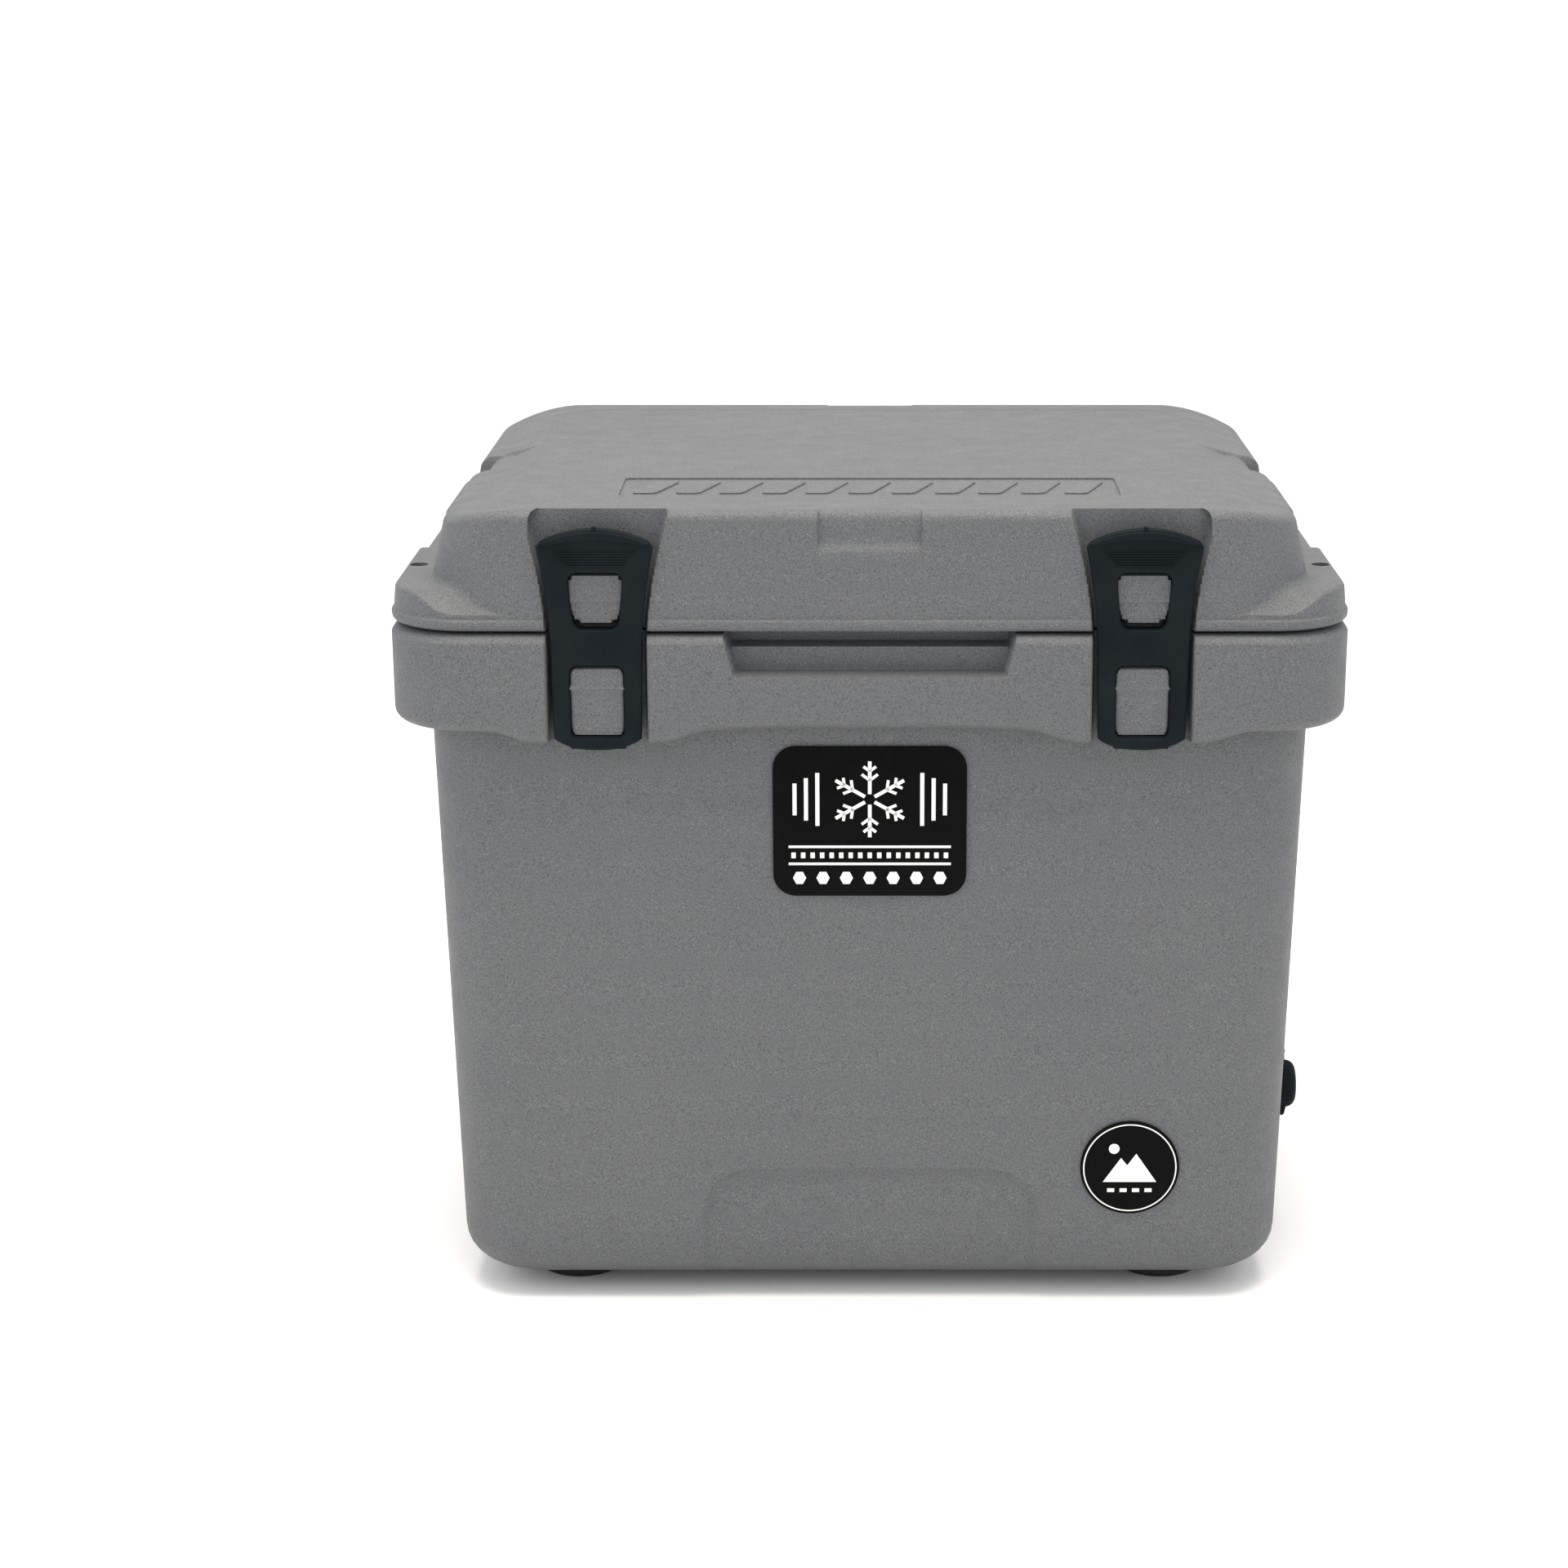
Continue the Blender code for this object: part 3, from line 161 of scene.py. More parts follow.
class Shape:
    """Vertices and faces gathered from several simple solids."""

    def __init__(self):
        self.verts = []
        self.faces = []

    def put(self, verts, faces, place=None):
        start = len(self.verts)
        for v in verts:
            self.verts.append(tuple(place @ Vector(v)) if place else tuple(v))
        self.faces += [[start + i for i in f] for f in faces]
        return self

    def grid(self, rings, caps=(True, True), place=None):
        """Closed rings of equal length, joined by quads."""
        count = len(rings[0])
        verts = [v for ring in rings for v in ring]
        faces = []
        for r in range(len(rings) - 1):
            for i in range(count):
                j = (i + 1) % count
                faces.append((r * count + i, r * count + j, (r + 1) * count + j, (r + 1) * count + i))
        if caps[0]:
            faces.append(tuple(range(count))[::-1])
        if caps[1]:
            faces.append(tuple(range((len(rings) - 1) * count, len(rings) * count)))
        return self.put(verts, faces, place)

    def turned(self, profile, centre, axis="z", segments=48, knurl=None):
        """Turns (radius, distance) points around an axis. knurl(angle, radius, along) alters a radius."""
        ex, ey, ez = {
            "z": (Vector((1, 0, 0)), Vector((0, 1, 0)), Vector((0, 0, 1))),
            "x": (Vector((0, 1, 0)), Vector((0, 0, 1)), Vector((1, 0, 0))),
            "y": (Vector((0, 0, 1)), Vector((1, 0, 0)), Vector((0, 1, 0))),
        }[axis]
        rings = []
        for radius, along in profile:
            ring = []
            for i in range(segments):
                a = 2 * math.pi * i / segments
                r = knurl(a, radius, along) if knurl else radius
                ring.append(Vector(centre) + ex * r * math.cos(a) + ey * r * math.sin(a) + ez * along)
            rings.append(ring)
        return self.grid(rings)

    def pipe(self, profile, centre, axis, segments, knurl=None):
        """A closed profile turned around an axis that it doesn't touch."""
        rings = Shape().turned(profile, centre, axis, segments, knurl)
        sides = [f for f in rings.faces if len(f) == 4]
        last = len(rings.verts) - segments
        sides += [(last + i, last + (i + 1) % segments, (i + 1) % segments, i) for i in range(segments)]
        return self.put(rings.verts, sides)

    def prism(self, outline, low, high, edge, place=None, steps=4):
        """A plate in the XZ plane, from Y low to high, with its edge at low rounded."""
        rings = [[(x, high, z) for x, z in outline]]
        for off_sine, off_cosine in quarter(steps):
            rings.append([(x, low + edge * off_sine, z) for x, z in grown(outline, -edge * off_cosine)])
        return self.grid(rings, place=place)

    def make(self, name, body, slot, node=None, angle=SHARP, mat=None):
        return add(name, self.verts, self.faces, body, slot, node, angle, mat)


def grown(outline, amount):
    """A dense closed outline moved outward by an amount."""
    points = np.array(outline, float)
    ahead = np.roll(points, -1, 0) - points
    behind = points - np.roll(points, 1, 0)
    ahead /= np.linalg.norm(ahead, axis=1)[:, None] + 1e-12
    behind /= np.linalg.norm(behind, axis=1)[:, None] + 1e-12
    along = ahead + behind
    length = np.linalg.norm(along, axis=1)[:, None] + 1e-12
    along /= length
    normal = np.stack([along[:, 1], -along[:, 0]], 1)
    area = (points[:, 0] * np.roll(points[:, 1], -1) - np.roll(points[:, 0], -1) * points[:, 1]).sum()
    reach = amount / np.maximum(length / 2, 0.6)
    return [tuple(p) for p in points + normal * reach * (1 if area > 0 else -1)]


def rounded_rect(half_w, half_h, radius, x=0.0, z=0.0, steps=8):
    points = []
    for corner, (sx, sz) in enumerate(((1, 1), (-1, 1), (-1, -1), (1, -1))):
        for k in range(steps + 1):
            a = math.pi / 2 * (corner + k / steps)
            cx = x + sx * (half_w - radius)
            cz = z + sz * (half_h - radius)
            points.append((cx + radius * math.cos(a), cz + radius * math.sin(a)))
    return points


def circle(radius, count, x=0.0, z=0.0, other=None):
    """Points of a circle, or of an ellipse with another half height."""
    high = radius if other is None else other
    turns = [2 * math.pi * k / count for k in range(count)]
    return [(x + radius * math.cos(a), z + high * math.sin(a)) for a in turns]


def rod_profile(start, end, radius, edge=0.0):
    """(radius, distance) points of a rod with bevelled ends, for Shape.turned."""
    ends = [(LEAST, start), (radius - edge, start), (radius, start + edge)]
    return ends + [(radius, end - edge), (radius - edge, end), (LEAST, end)]


def cut(obj, cutter):
    """Takes a cutter shape away from obj."""
    mesh = bpy.data.meshes.new("cutters")
    mesh.from_pydata(cutter.verts, [], cutter.faces)
    bm = bmesh.new()
    bm.from_mesh(mesh)
    bmesh.ops.recalc_face_normals(bm, faces=bm.faces)
    bm.to_mesh(mesh)
    bm.free()
    tool = bpy.data.objects.new("cutters", mesh)
    bpy.context.scene.collection.objects.link(tool)
    mod = obj.modifiers.new("cut", "BOOLEAN")
    mod.operation = "DIFFERENCE"
    mod.solver = "EXACT"
    mod.object = tool
    graph = bpy.context.evaluated_depsgraph_get()
    result = bpy.data.meshes.new_from_object(obj.evaluated_get(graph))
    obj.modifiers.clear()
    old = obj.data
    obj.data = result
    bpy.data.meshes.remove(old)
    bpy.data.objects.remove(tool, do_unlink=True)
    obj.data.set_sharp_from_angle(angle=math.radians(SHARP))
    return obj


# ==== columns around the cooler
def spread(stops):
    """Positions from -end to end, from (position, spacing beyond it) stops on the positive side."""
    positions = [0.0]
    for (start, gap), (end, _) in zip(stops, stops[1:]):
        count = max(1, round((end - start) / gap))
        positions += [start + (end - start) * (k + 1) / count for k in range(count)]
    return [-p for p in positions[:0:-1]] + positions


STRAIGHT_X = W - RIM_R
STRAIGHT_Y = D - RIM_R
FRONT_STOPS = [(0, 0.0042), (0.0245, 0.0007), (0.0315, 0.0045), (0.068, 0.0011), (0.0815, 0.0035)]
FRONT_STOPS += [(0.0885, 0.0011), (0.0965, 0.0012), (LATCH_X - 0.0415, 0.0009)]
FRONT_STOPS += [(LATCH_X - 0.0225, 0.0024), (LATCH_X - 0.0165, 0.0008), (LATCH_X - 0.0115, 0.0032)]
FRONT_STOPS += [(LATCH_X + 0.0115, 0.0008), (LATCH_X + 0.0165, 0.0024), (LATCH_X + 0.0225, 0.0009)]
FRONT_STOPS += [(LATCH_X + 0.0415, 0.0045), (STRAIGHT_X, 0)]
BACK_STOPS = [(0, 0.0055), (0.0245, 0.0010), (0.0315, 0.0065), (STRAIGHT_X, 0)]
SIDE_STOPS = [(0, 0.0045), (0.020, 0.0015), (0.034, 0.0045), (0.086, 0.0022), (0.124, 0.0045)]
SIDE_STOPS += [(STRAIGHT_Y, 0)]
TURN = [k / 13 for k in range(1, 13)]
COLUMNS = [(0, p) for p in spread(FRONT_STOPS)] + [(1, t) for t in TURN]
COLUMNS += [(2, p) for p in spread(SIDE_STOPS)] + [(3, t) for t in TURN]
COLUMNS += [(4, -p) for p in spread(BACK_STOPS)] + [(5, t) for t in TURN]
COLUMNS += [(6, -p) for p in spread(SIDE_STOPS)] + [(7, t) for t in TURN]
SEGMENT = np.array([c[0] for c in COLUMNS])
ALONG = np.array([c[1] for c in COLUMNS])
ZERO = np.zeros(len(COLUMNS))


def on_straight(along, length, core, nominal):
    """Position on a straight side: exact up to core, then stretched to the side's own length."""
    size = np.abs(along)
    core = np.minimum(core, length * 0.985)
    outer = core + (size - core) * (length - core) / (nominal - core)
    return np.sign(along) * np.where(size <= core, size, outer)


def surface(in_w, in_d, z, r):
    """Points of one row: a rounded rectangle drawn in by in_w and in_d, per column."""
    w = W - in_w + ZERO
    d = D - in_d + ZERO
    r = r + ZERO
    front = on_straight(ALONG, w - r, CORE_X, STRAIGHT_X)
    side = on_straight(ALONG, d - r, CORE_Y, STRAIGHT_Y)
    angle = (ALONG + (SEGMENT - 1) / 2 - 1) * math.pi / 2
    sx = np.where((SEGMENT == 1) | (SEGMENT == 3), 1, -1)
    sy = np.where((SEGMENT == 1) | (SEGMENT == 7), -1, 1)
    x = sx * (w - r) + r * np.cos(angle)
    y = sy * (d - r) + r * np.sin(angle)
    for number, fixed in ((0, -d), (4, d)):
        x = np.where(SEGMENT == number, front, x)
        y = np.where(SEGMENT == number, fixed, y)
    for number, fixed in ((2, w), (6, -w)):
        x = np.where(SEGMENT == number, fixed, x)
        y = np.where(SEGMENT == number, side, y)
    return np.stack([x, y, z + ZERO], 1)


FRONT = SEGMENT == 0
BACK = SEGMENT == 4
SIDE = (SEGMENT == 2) | (SEGMENT == 6)
LATCH_AT = np.where(FRONT, np.abs(ALONG) - LATCH_X, 9.0)
MIDDLE = np.where(FRONT, np.abs(ALONG), 9.0)
AROUND_SIDE = np.where(SIDE, np.abs(ALONG), 9.0)
FRONT_TURN = np.select([SEGMENT == 1, SEGMENT == 7], [ALONG, 1 - ALONG], 0)
BACK_TURN = np.select([SEGMENT == 3, SEGMENT == 5], [1 - ALONG, ALONG], 0)


# ==== body skin
def rim_height():
    """How far the rim's lower edge hangs below the parting line, round the cooler."""
    near_latch = inside(LATCH_AT, 0.047, 0.026)
    middle = 0.0518 + 0.0022 * smooth(0.05, 0.10, MIDDLE)
    front = np.where(FRONT, middle, 0.0538)
    side = 0.0030 * inside(AROUND_SIDE, 0.075, 0.030)
    return front + (0.0604 - front) * near_latch + side


def channel(z):
    """1 in the latch channels at a height, following the latch's outline."""
    half = CHANNEL_HALF + (FLARE - CHANNEL_HALF) * np.clip((z - PARTING) / (TOP - PARTING), 0, 1) ** 1.7
    return np.where(FRONT, 1 - smooth(half - 0.0007, half + 0.0011, np.abs(LATCH_AT)), 0)


def lug_shape(z, low, high, half, foot_half, ridge):
    """1 where a lug stands out of the channel's floor, 0 beside it."""
    t = np.clip((z - low) / (high - low), 0, 1)
    half_here = foot_half + (half - foot_half) * smooth(0, 0.45, t)
    round_off = 0.0042
    drop = np.clip((z - (high - round_off)) / round_off, 0, 1)
    rise = np.clip(((low + round_off) - z) / round_off, 0, 1)
    half_here = half_here - round_off * (1 - np.sqrt(np.clip(1 - drop**2, 0, 1)))
    half_here = half_here - round_off * 0.8 * (1 - np.sqrt(np.clip(1 - rise**2, 0, 1)))
    across = inside(LATCH_AT, half_here + ridge * 0.0013, 0.0016)
    tall = smooth(low - 0.0006, low + 0.0010, z) * (1 - smooth(high - 0.0010, high + 0.0006, z))
    return across * tall


def front_relief(in_d, z, lugs):
    """Draws the front in at the latch channels and stands the lugs out of them."""
    floor = np.maximum(in_d, CHANNEL_IN)
    depth = in_d + (floor - in_d) * channel(z)
    for low, high, half, foot_half, face, ridge_z in lugs:
        ridge = np.exp(-(((z - ridge_z) / 0.0009) ** 2))
        amount = lug_shape(z, low, high, half, foot_half, ridge)
        slope = face - 0.0011 * ridge + 0.0012 * np.clip((ridge_z - z) / 0.02, 0, 1)
        depth = depth + (np.minimum(depth, slope) - depth) * amount
    return depth


# (low, high, half width, half width at the foot, inset of the face, height of the moulding line)
LOWER_LUG = (PARTING - 0.0560, PARTING - 0.0172, 0.0146, 0.0146, 0.0028, PARTING - 0.0290)
UPPER_LUG = (PARTING + 0.0048, PARTING + 0.0330, 0.0147, 0.0116, 0.0044, PARTING + 0.0182)
POCKET_LOW = PARTING - 0.0222


def pocket(z):
    half = 0.0718 + 0.0054 * np.clip((z - POCKET_LOW) / 0.022, 0, 1)
    low = smooth(POCKET_LOW - 0.0008, POCKET_LOW + 0.0016, z)
    return np.where(FRONT, inside(MIDDLE, half, 0.0022), 0) * low


def into_pocket(depth, z):
    """The finger pocket: a shallow panel with a deep slot above it, under the lid's lip."""
    deep = 0.0125 + 0.0093 * smooth(PARTING - 0.0084, PARTING - 0.0064, z + ZERO)
    return depth + (np.maximum(depth, deep) - depth) * pocket(z)


def wall_relief(z):
    """Shallow shapes on the front wall: the low panel and the faint ring behind the badge."""
    top = BASE + 0.0695
    t = np.clip((z - (top - 0.0276)) / 0.0276, 0, 1)
    half = 0.093 - 0.0276 * (1 - np.sqrt(1 - t * t))
    edge = np.where(FRONT, inside(MIDDLE, half, 0.0032), 0) * (1 - smooth(top - 0.0014, top + 0.0014, z))
    beside = np.where(FRONT, np.exp(-(((MIDDLE - half - 0.0018) / 0.0016) ** 2)), 0)
    lip = beside * (1 - smooth(top - 0.001, top + 0.002, z))
    away = np.hypot(MIDDLE, z - (BADGE_LOW.z + 0.030))
    ring = 0.00035 * np.exp(-(((away - 0.0385) / 0.0014) ** 2)) - 0.0003 * inside(away, 0.037, 0.004)
    return 0.0017 * edge - 0.0004 * lip - np.where(FRONT, ring, 0)


def foot_in(z):
    """How far the drafted walls stand in from the rim band at a height."""
    return WALL_IN + DRAFT * (PARTING - 0.0518 - z)


def body_rows():
    """The outer skin from the underside up, then over the rim and down into the ice box."""
    rows = []

    def rim_row(inset, z, radius, lugs, with_pocket=False):
        depth = front_relief(inset, z, lugs)
        rows.append(surface(inset, into_pocket(depth, z) if with_pocket else depth, z, radius))

    rim = PARTING - rim_height()
    low = foot_in(BASE)
    for extra, lift in ((0.150, 0.0010), (0.120, 0.0010), (0.116, 0), (0.070, 0), (0.034, 0)):
        rows.append(surface(low + extra, low + extra * 0.9, BASE + lift, 0.020))
    for off_sine, off_cosine in quarter(8):
        z = BASE + WALL_FOOT_R * off_cosine
        inset = foot_in(z) + WALL_FOOT_R * off_sine
        skirt = wall_relief(z + ZERO) * (1 - off_sine) ** 2
        rows.append(surface(inset, inset + skirt, z, WALL_R - WALL_FOOT_R * off_sine * 0.45))
    start = BASE + WALL_FOOT_R
    badge_foot = BADGE_LOW.z - BASE
    for stop, count in ((0.040, 3), (0.065, 8), (0.074, 9), (badge_foot - 0.020, 21), (badge_foot, 13)):
        for z in np.linspace(start, BASE + stop, count + 1)[1:]:
            rows.append(surface(foot_in(z), foot_in(z) + wall_relief(z + ZERO), z, WALL_R))
        start = BASE + stop
    for t in np.linspace(0, 1, 12)[1:]:
        z = start + (rim - 0.0002 - start) * t
        rim_row(foot_in(z), z, WALL_R, [])
    for k in (0.0, 0.25, 0.6):
        inset = foot_in(rim) * (1 - k) + 0.0092 * k - 0.0008 * (k == 0)
        rim_row(inset, rim, WALL_R + (RIM_R - WALL_R) * k, [])
    for off_sine, off_cosine in quarter(7):
        inset = RIM_EDGE * off_sine + 0.0004
        rim_row(inset, rim + RIM_EDGE * 0.85 * off_cosine, RIM_R - inset, [LOWER_LUG])
    bottom = rim + RIM_EDGE * 0.85
    stops = ((0.0345, 8), (0.0270, 10), (0.0245, 2), (0.0150, 13), (0.0066, 5), (0.0048, 4))
    for below, count in stops:
        stop = PARTING - below
        for t in np.linspace(0, 1, count + 1)[1:]:
            z = bottom + (stop - bottom) * t
            rim_row(0.0004 * (PARTING - z) / 0.0535, z, RIM_R, [LOWER_LUG], True)
        bottom = stop + ZERO
    edge = ((0.0003, 0.0042), (0.0012, 0.0030), (0.0026, 0.0016), (0.0040, 0.0006), (0.0062, 0.0))
    for inset, below in edge:
        rim_row(inset, PARTING - below + ZERO, RIM_R - inset * 0.6, [], True)
    for inset in (0.0105, 0.0145, 0.0185, 0.030, 0.050, 0.062):
        rim_row(inset, PARTING + ZERO, RIM_R - inset * 0.4, [], True)
    for off_sine, off_cosine in quarter(5):
        inset = 0.004 * off_sine
        z = PARTING - 0.004 * off_cosine
        rows.append(surface(ICE_SIDE - inset, ICE_FRONT - inset, z, ICE_R + inset))
    slope = math.tan(math.radians(1.0))
    for z in np.linspace(PARTING - 0.008, ICE_FLOOR + ICE_FOOT_R, 14):
        lean = slope * (PARTING - z)
        rows.append(surface(ICE_SIDE + lean, ICE_FRONT + lean, z, ICE_R))
    for off_sine, off_cosine in quarter(6, 1):
        inset = slope * (PARTING - ICE_FLOOR) + ICE_FOOT_R * off_cosine
        z = ICE_FLOOR + ICE_FOOT_R * off_sine
        rows.append(surface(ICE_SIDE + inset, ICE_FRONT + inset, z, ICE_R - ICE_FOOT_R * off_cosine * 0.5))
    for extra in (0.03, 0.09):
        rows.append(surface(ICE_SIDE + 0.02 + extra, ICE_FRONT + 0.02 + extra, ICE_FLOOR, 0.012))
    return rows


def bevelled(rows, angle, upward):
    """Takes the back edge down behind the hinge line, so that the lid can swing."""
    tilt = math.tan(math.radians(angle))
    done = []
    for row in rows:
        row = row.copy()
        behind = np.maximum(row[:, 1] - HINGE_Y, 0)
        limit = HINGE_Z + upward * behind * tilt
        near = row[:, 1] > HINGE_Y
        z = row[:, 2]
        row[:, 2] = np.where(near, np.maximum(z, limit) if upward > 0 else np.minimum(z, limit), z)
        done.append(row)
    return done


KNUCKLE = 0.0103
BODY_KNUCKLES = ((-HINGE_END, -0.1205), (-0.0395, 0.0395), (0.1205, HINGE_END))
LID_KNUCKLES = ((-0.1195, -0.0405), (0.0405, 0.1195))


def knuckles(spans, radius, grow):
    """The hinge knuckles along the spans or, with grow over 0, the room cut for them."""
    shape = Shape()
    for start, end in spans:
        edge = 0.0012 if grow == 0 else 0
        shape.turned(rod_profile(start - grow, end + grow, radius, edge), HINGE_CENTRE, "x", 40)
    return shape


def tie_cutters(low, high):
    shape = Shape()
    for sx in (-1, 1):
        for sy in (-1, 1):
            centre = (sx * (W - TIE_HOLE_IN), sy * (D - TIE_HOLE_FROM_END), 0)
            shape.turned([(TIE_HOLE_R, low), (TIE_HOLE_R, high)], centre, "z", 28)
    return shape


def block(low, high, edge=0.004):
    """A box with rounded upright corners, as a cutter."""
    hx = (high[0] - low[0]) / 2
    hy = (high[1] - low[1]) / 2
    outline = rounded_rect(hx, hy, edge, (low[0] + high[0]) / 2, (low[1] + high[1]) / 2, 5)
    rings = [[(x, y, low[2]) for x, y in outline], [(x, y, high[2]) for x, y in outline]]
    return Shape().grid(rings)


def make_body():
    shape = Shape().grid(bevelled(body_rows(), 45, -1))
    body = shape.make("body_skin", "body", "grey_plastic", ["body_shell", "ice_box_liner"])
    face = SEAL_LOW.x - 0.0003
    caps = Shape()
    drain = Shape()
    feet = Shape()
    grips = []
    for side in (-1, 1):
        start, end = sorted((side * (HINGE_END - 0.0002), side * (HINGE_END + 0.0052)))
        caps.turned([(0.0078, start), (0.0078, end)], HINGE_CENTRE, "x", 32)
        x0, x1 = sorted((side * (W - WALL_IN - 0.0002), side * (W - 0.0072)))
        grips.append(block((x0, -0.055, PARTING - 0.075), (x1, 0.055, PARTING - 0.0285)))
        for sy in (-1, 1):
            profile = [(FOOT_R + 0.0006, BASE - 0.01), (FOOT_R + 0.0006, BASE + 0.0038)]
            feet.turned(profile, (side * FOOT_X, sy * FOOT_Y, 0), "z", 56)
    drain.turned([(DRAIN_R + 0.0016, face), (DRAIN_R + 0.0024, W + 0.01)], DRAIN_CENTRE, "x", 56)
    strap_low = (face + 0.0001, DRAIN_Y - 0.0082, DRAIN_Z + 0.002)
    strap = block(strap_low, (W, DRAIN_Y + 0.0082, PLUG_HIGH.z + 0.0028), 0.0012)
    bore = Shape().turned([(0.0128, NUT_LOW.x - 0.01), (0.0128, face + 0.002)], DRAIN_CENTRE, "x", 40)
    hinge_room = knuckles(LID_KNUCKLES, KNUCKLE + 0.0012, 0.0008)
    ties = tie_cutters(PARTING - 0.07, PARTING + 0.02)
    for cutter in (ties, hinge_room, caps, *grips, drain, strap, bore, feet):
        cut(body, cutter)
    knuckles(BODY_KNUCKLES, KNUCKLE, 0).make("body_knuckles", "body", "grey_plastic")


# ==== lid skin
# 1 where the lid has its ears, 1 in the lower stretch between them, and the lip behind the rim
TAB = np.where(SIDE, 1.0, 0) + smooth(0.12, 0.52, FRONT_TURN) + smooth(0.12, 0.52, BACK_TURN)
SIDE_DIP = inside(AROUND_SIDE, 0.0600, 0.0030)
LIP_BACK = 0.0027


def dish(z):
    """Shallow finger dishes in the top edge, in the middle of each side: (side inset, front inset)."""
    middle = np.minimum(MIDDLE, np.where(BACK, np.abs(ALONG), 9.0))
    fade = smooth(TOP - 0.0225, TOP - 0.0165, z)
    return DISH_SIDE * inside(AROUND_SIDE, DISH_HALF) * fade, DISH_FRONT * inside(middle, DISH_HALF) * fade


def lid_rows():
    """The lid's skin from its plug in the ice box, out over the lip and up to the top."""
    rows = []
    edge_side = 0.014
    edge_front = 0.0062
    turned = smooth(0.1, 0.9, np.where(SIDE, 1.0, FRONT_TURN + BACK_TURN))

    def lid_row(in_w, in_d, z, radius, lugs=(UPPER_LUG,)):
        rows.append(surface(in_w, front_relief(in_d + ZERO, z + ZERO, lugs), z, radius))

    low = PARTING - LID_DROP
    side = ICE_SIDE + 0.0032
    front = ICE_FRONT + 0.0032
    for extra, lift in ((0.110, 0.0012), (0.040, 0), (0.012, 0), (0.011, 0)):
        rows.append(surface(side + extra, front + extra, low + lift, 0.014))
    for off_sine, off_cosine in quarter(5):
        inset = 0.0045 * off_sine
        rows.append(surface(side + inset, front + inset, low + 0.0045 * off_cosine, LID_PLUG_R - inset))
    rows.append(surface(side - 0.0004, front - 0.0004, LID_BASE - 0.002, LID_PLUG_R))
    rows.append(surface(side - 0.0016, front - 0.0016, LID_BASE, LID_PLUG_R + 0.001))
    for inset in (0.060, 0.048, 0.030, 0.020, 0.017, 0.0145, 0.010, 0.006):
        lid_row(inset, inset, LID_BASE, RIM_R - inset * 0.4, ())
    lip = ((0.0034, 0.0), (0.0020, 0.0002), (0.0010, 0.0008), (0.0003, 0.0018), (0.0, 0.0032))
    lip += ((0.0, 0.0048), (0.0003, 0.0056), (0.0011, 0.0060), (0.0015, 0.0066))
    for inset, rise in lip:
        lid_row(inset, inset + LIP_BACK, LID_BASE + rise, RIM_R - inset)
    ledge = 0.0105 + 0.0110 * TAB - 0.0065 * SIDE_DIP
    wall_in = 0.0015 + 0.0008 * TAB
    edge = 0.0030 * TAB
    for t in np.linspace(0, 1, 9)[1:]:
        z = LID_BASE + 0.0066 + (PARTING + ledge - edge - LID_BASE - 0.0066) * t
        inset = 0.0015 + (wall_in - 0.0015) * t ** 1.2
        lid_row(inset, inset + LIP_BACK, z, RIM_R - inset)
    for off_sine, off_cosine in quarter(5, 1):
        inset = wall_in + edge * off_cosine
        lid_row(inset, inset + LIP_BACK, PARTING + ledge - edge * off_sine, RIM_R - inset)
    outer = wall_in + edge
    radius = edge_front + (edge_side - edge_front) * turned
    foot_z = np.minimum(PARTING + ledge + 0.0004, TOP - radius - 0.0012)
    for q in (0.35, 0.65, 0.85, 0.95):
        lift = 0.0018 * TAB * smooth(0.75, 1.0, q)
        z = np.minimum(PARTING + ledge, foot_z) * q + (PARTING + ledge) * (1 - q) + lift
        in_d = outer + LIP_BACK + (0.0042 - outer - LIP_BACK) * q
        lid_row(outer + (0.0218 - outer) * q, in_d, z, RIM_R - outer + (DOME_R - RIM_R + outer) * q)
    foot_z = foot_z + 0.0036 * TAB
    for t in sorted([*np.linspace(0, 1, 22), 0.12, 0.135, 0.149, 0.163, 0.178]):
        z = foot_z + (TOP - radius - foot_z) * t
        cut_w, cut_d = dish(z)
        lid_row(0.0223 + 0.0060 * t + cut_w, 0.0042 + 0.0028 * t + cut_d, z, DOME_R - 0.004 * t)
    drop = 0.0058 * turned
    for off_sine, off_cosine in quarter(8, 1):
        z = TOP - radius * off_sine - drop * (1 - off_sine)
        cut_w, cut_d = dish(z)
        in_d = 0.0070 + edge_front * off_cosine + cut_d
        lid_row(0.0283 + edge_side * off_cosine + cut_w, in_d, z, 0.048 - 0.010 * off_cosine, ())
    # (side inset, front inset, share of the drop, share of the dishes, step down into the top panel)
    tops = ((0.0470, 0.0162, 0.78, 0.8, 0), (0.0550, 0.0210, 0.40, 0.45, 0), (0.0622, 0.0262, 0.05, 0.1, 0))
    tops += ((0.0634, 0.0280, 0, 0, 0), (0.0650, 0.0300, 0, 0, 0), (0.0665, 0.0320, 0, 0, 0.0006))
    tops += ((0.0682, 0.0340, 0, 0, 0.0006),)
    for in_w, in_d, share, keep, step in tops:
        cut_w, cut_d = dish(TOP + ZERO)
        rows.append(surface(in_w + cut_w * keep, in_d + cut_d * keep, TOP - step - drop * share, 0.036))
    return rows


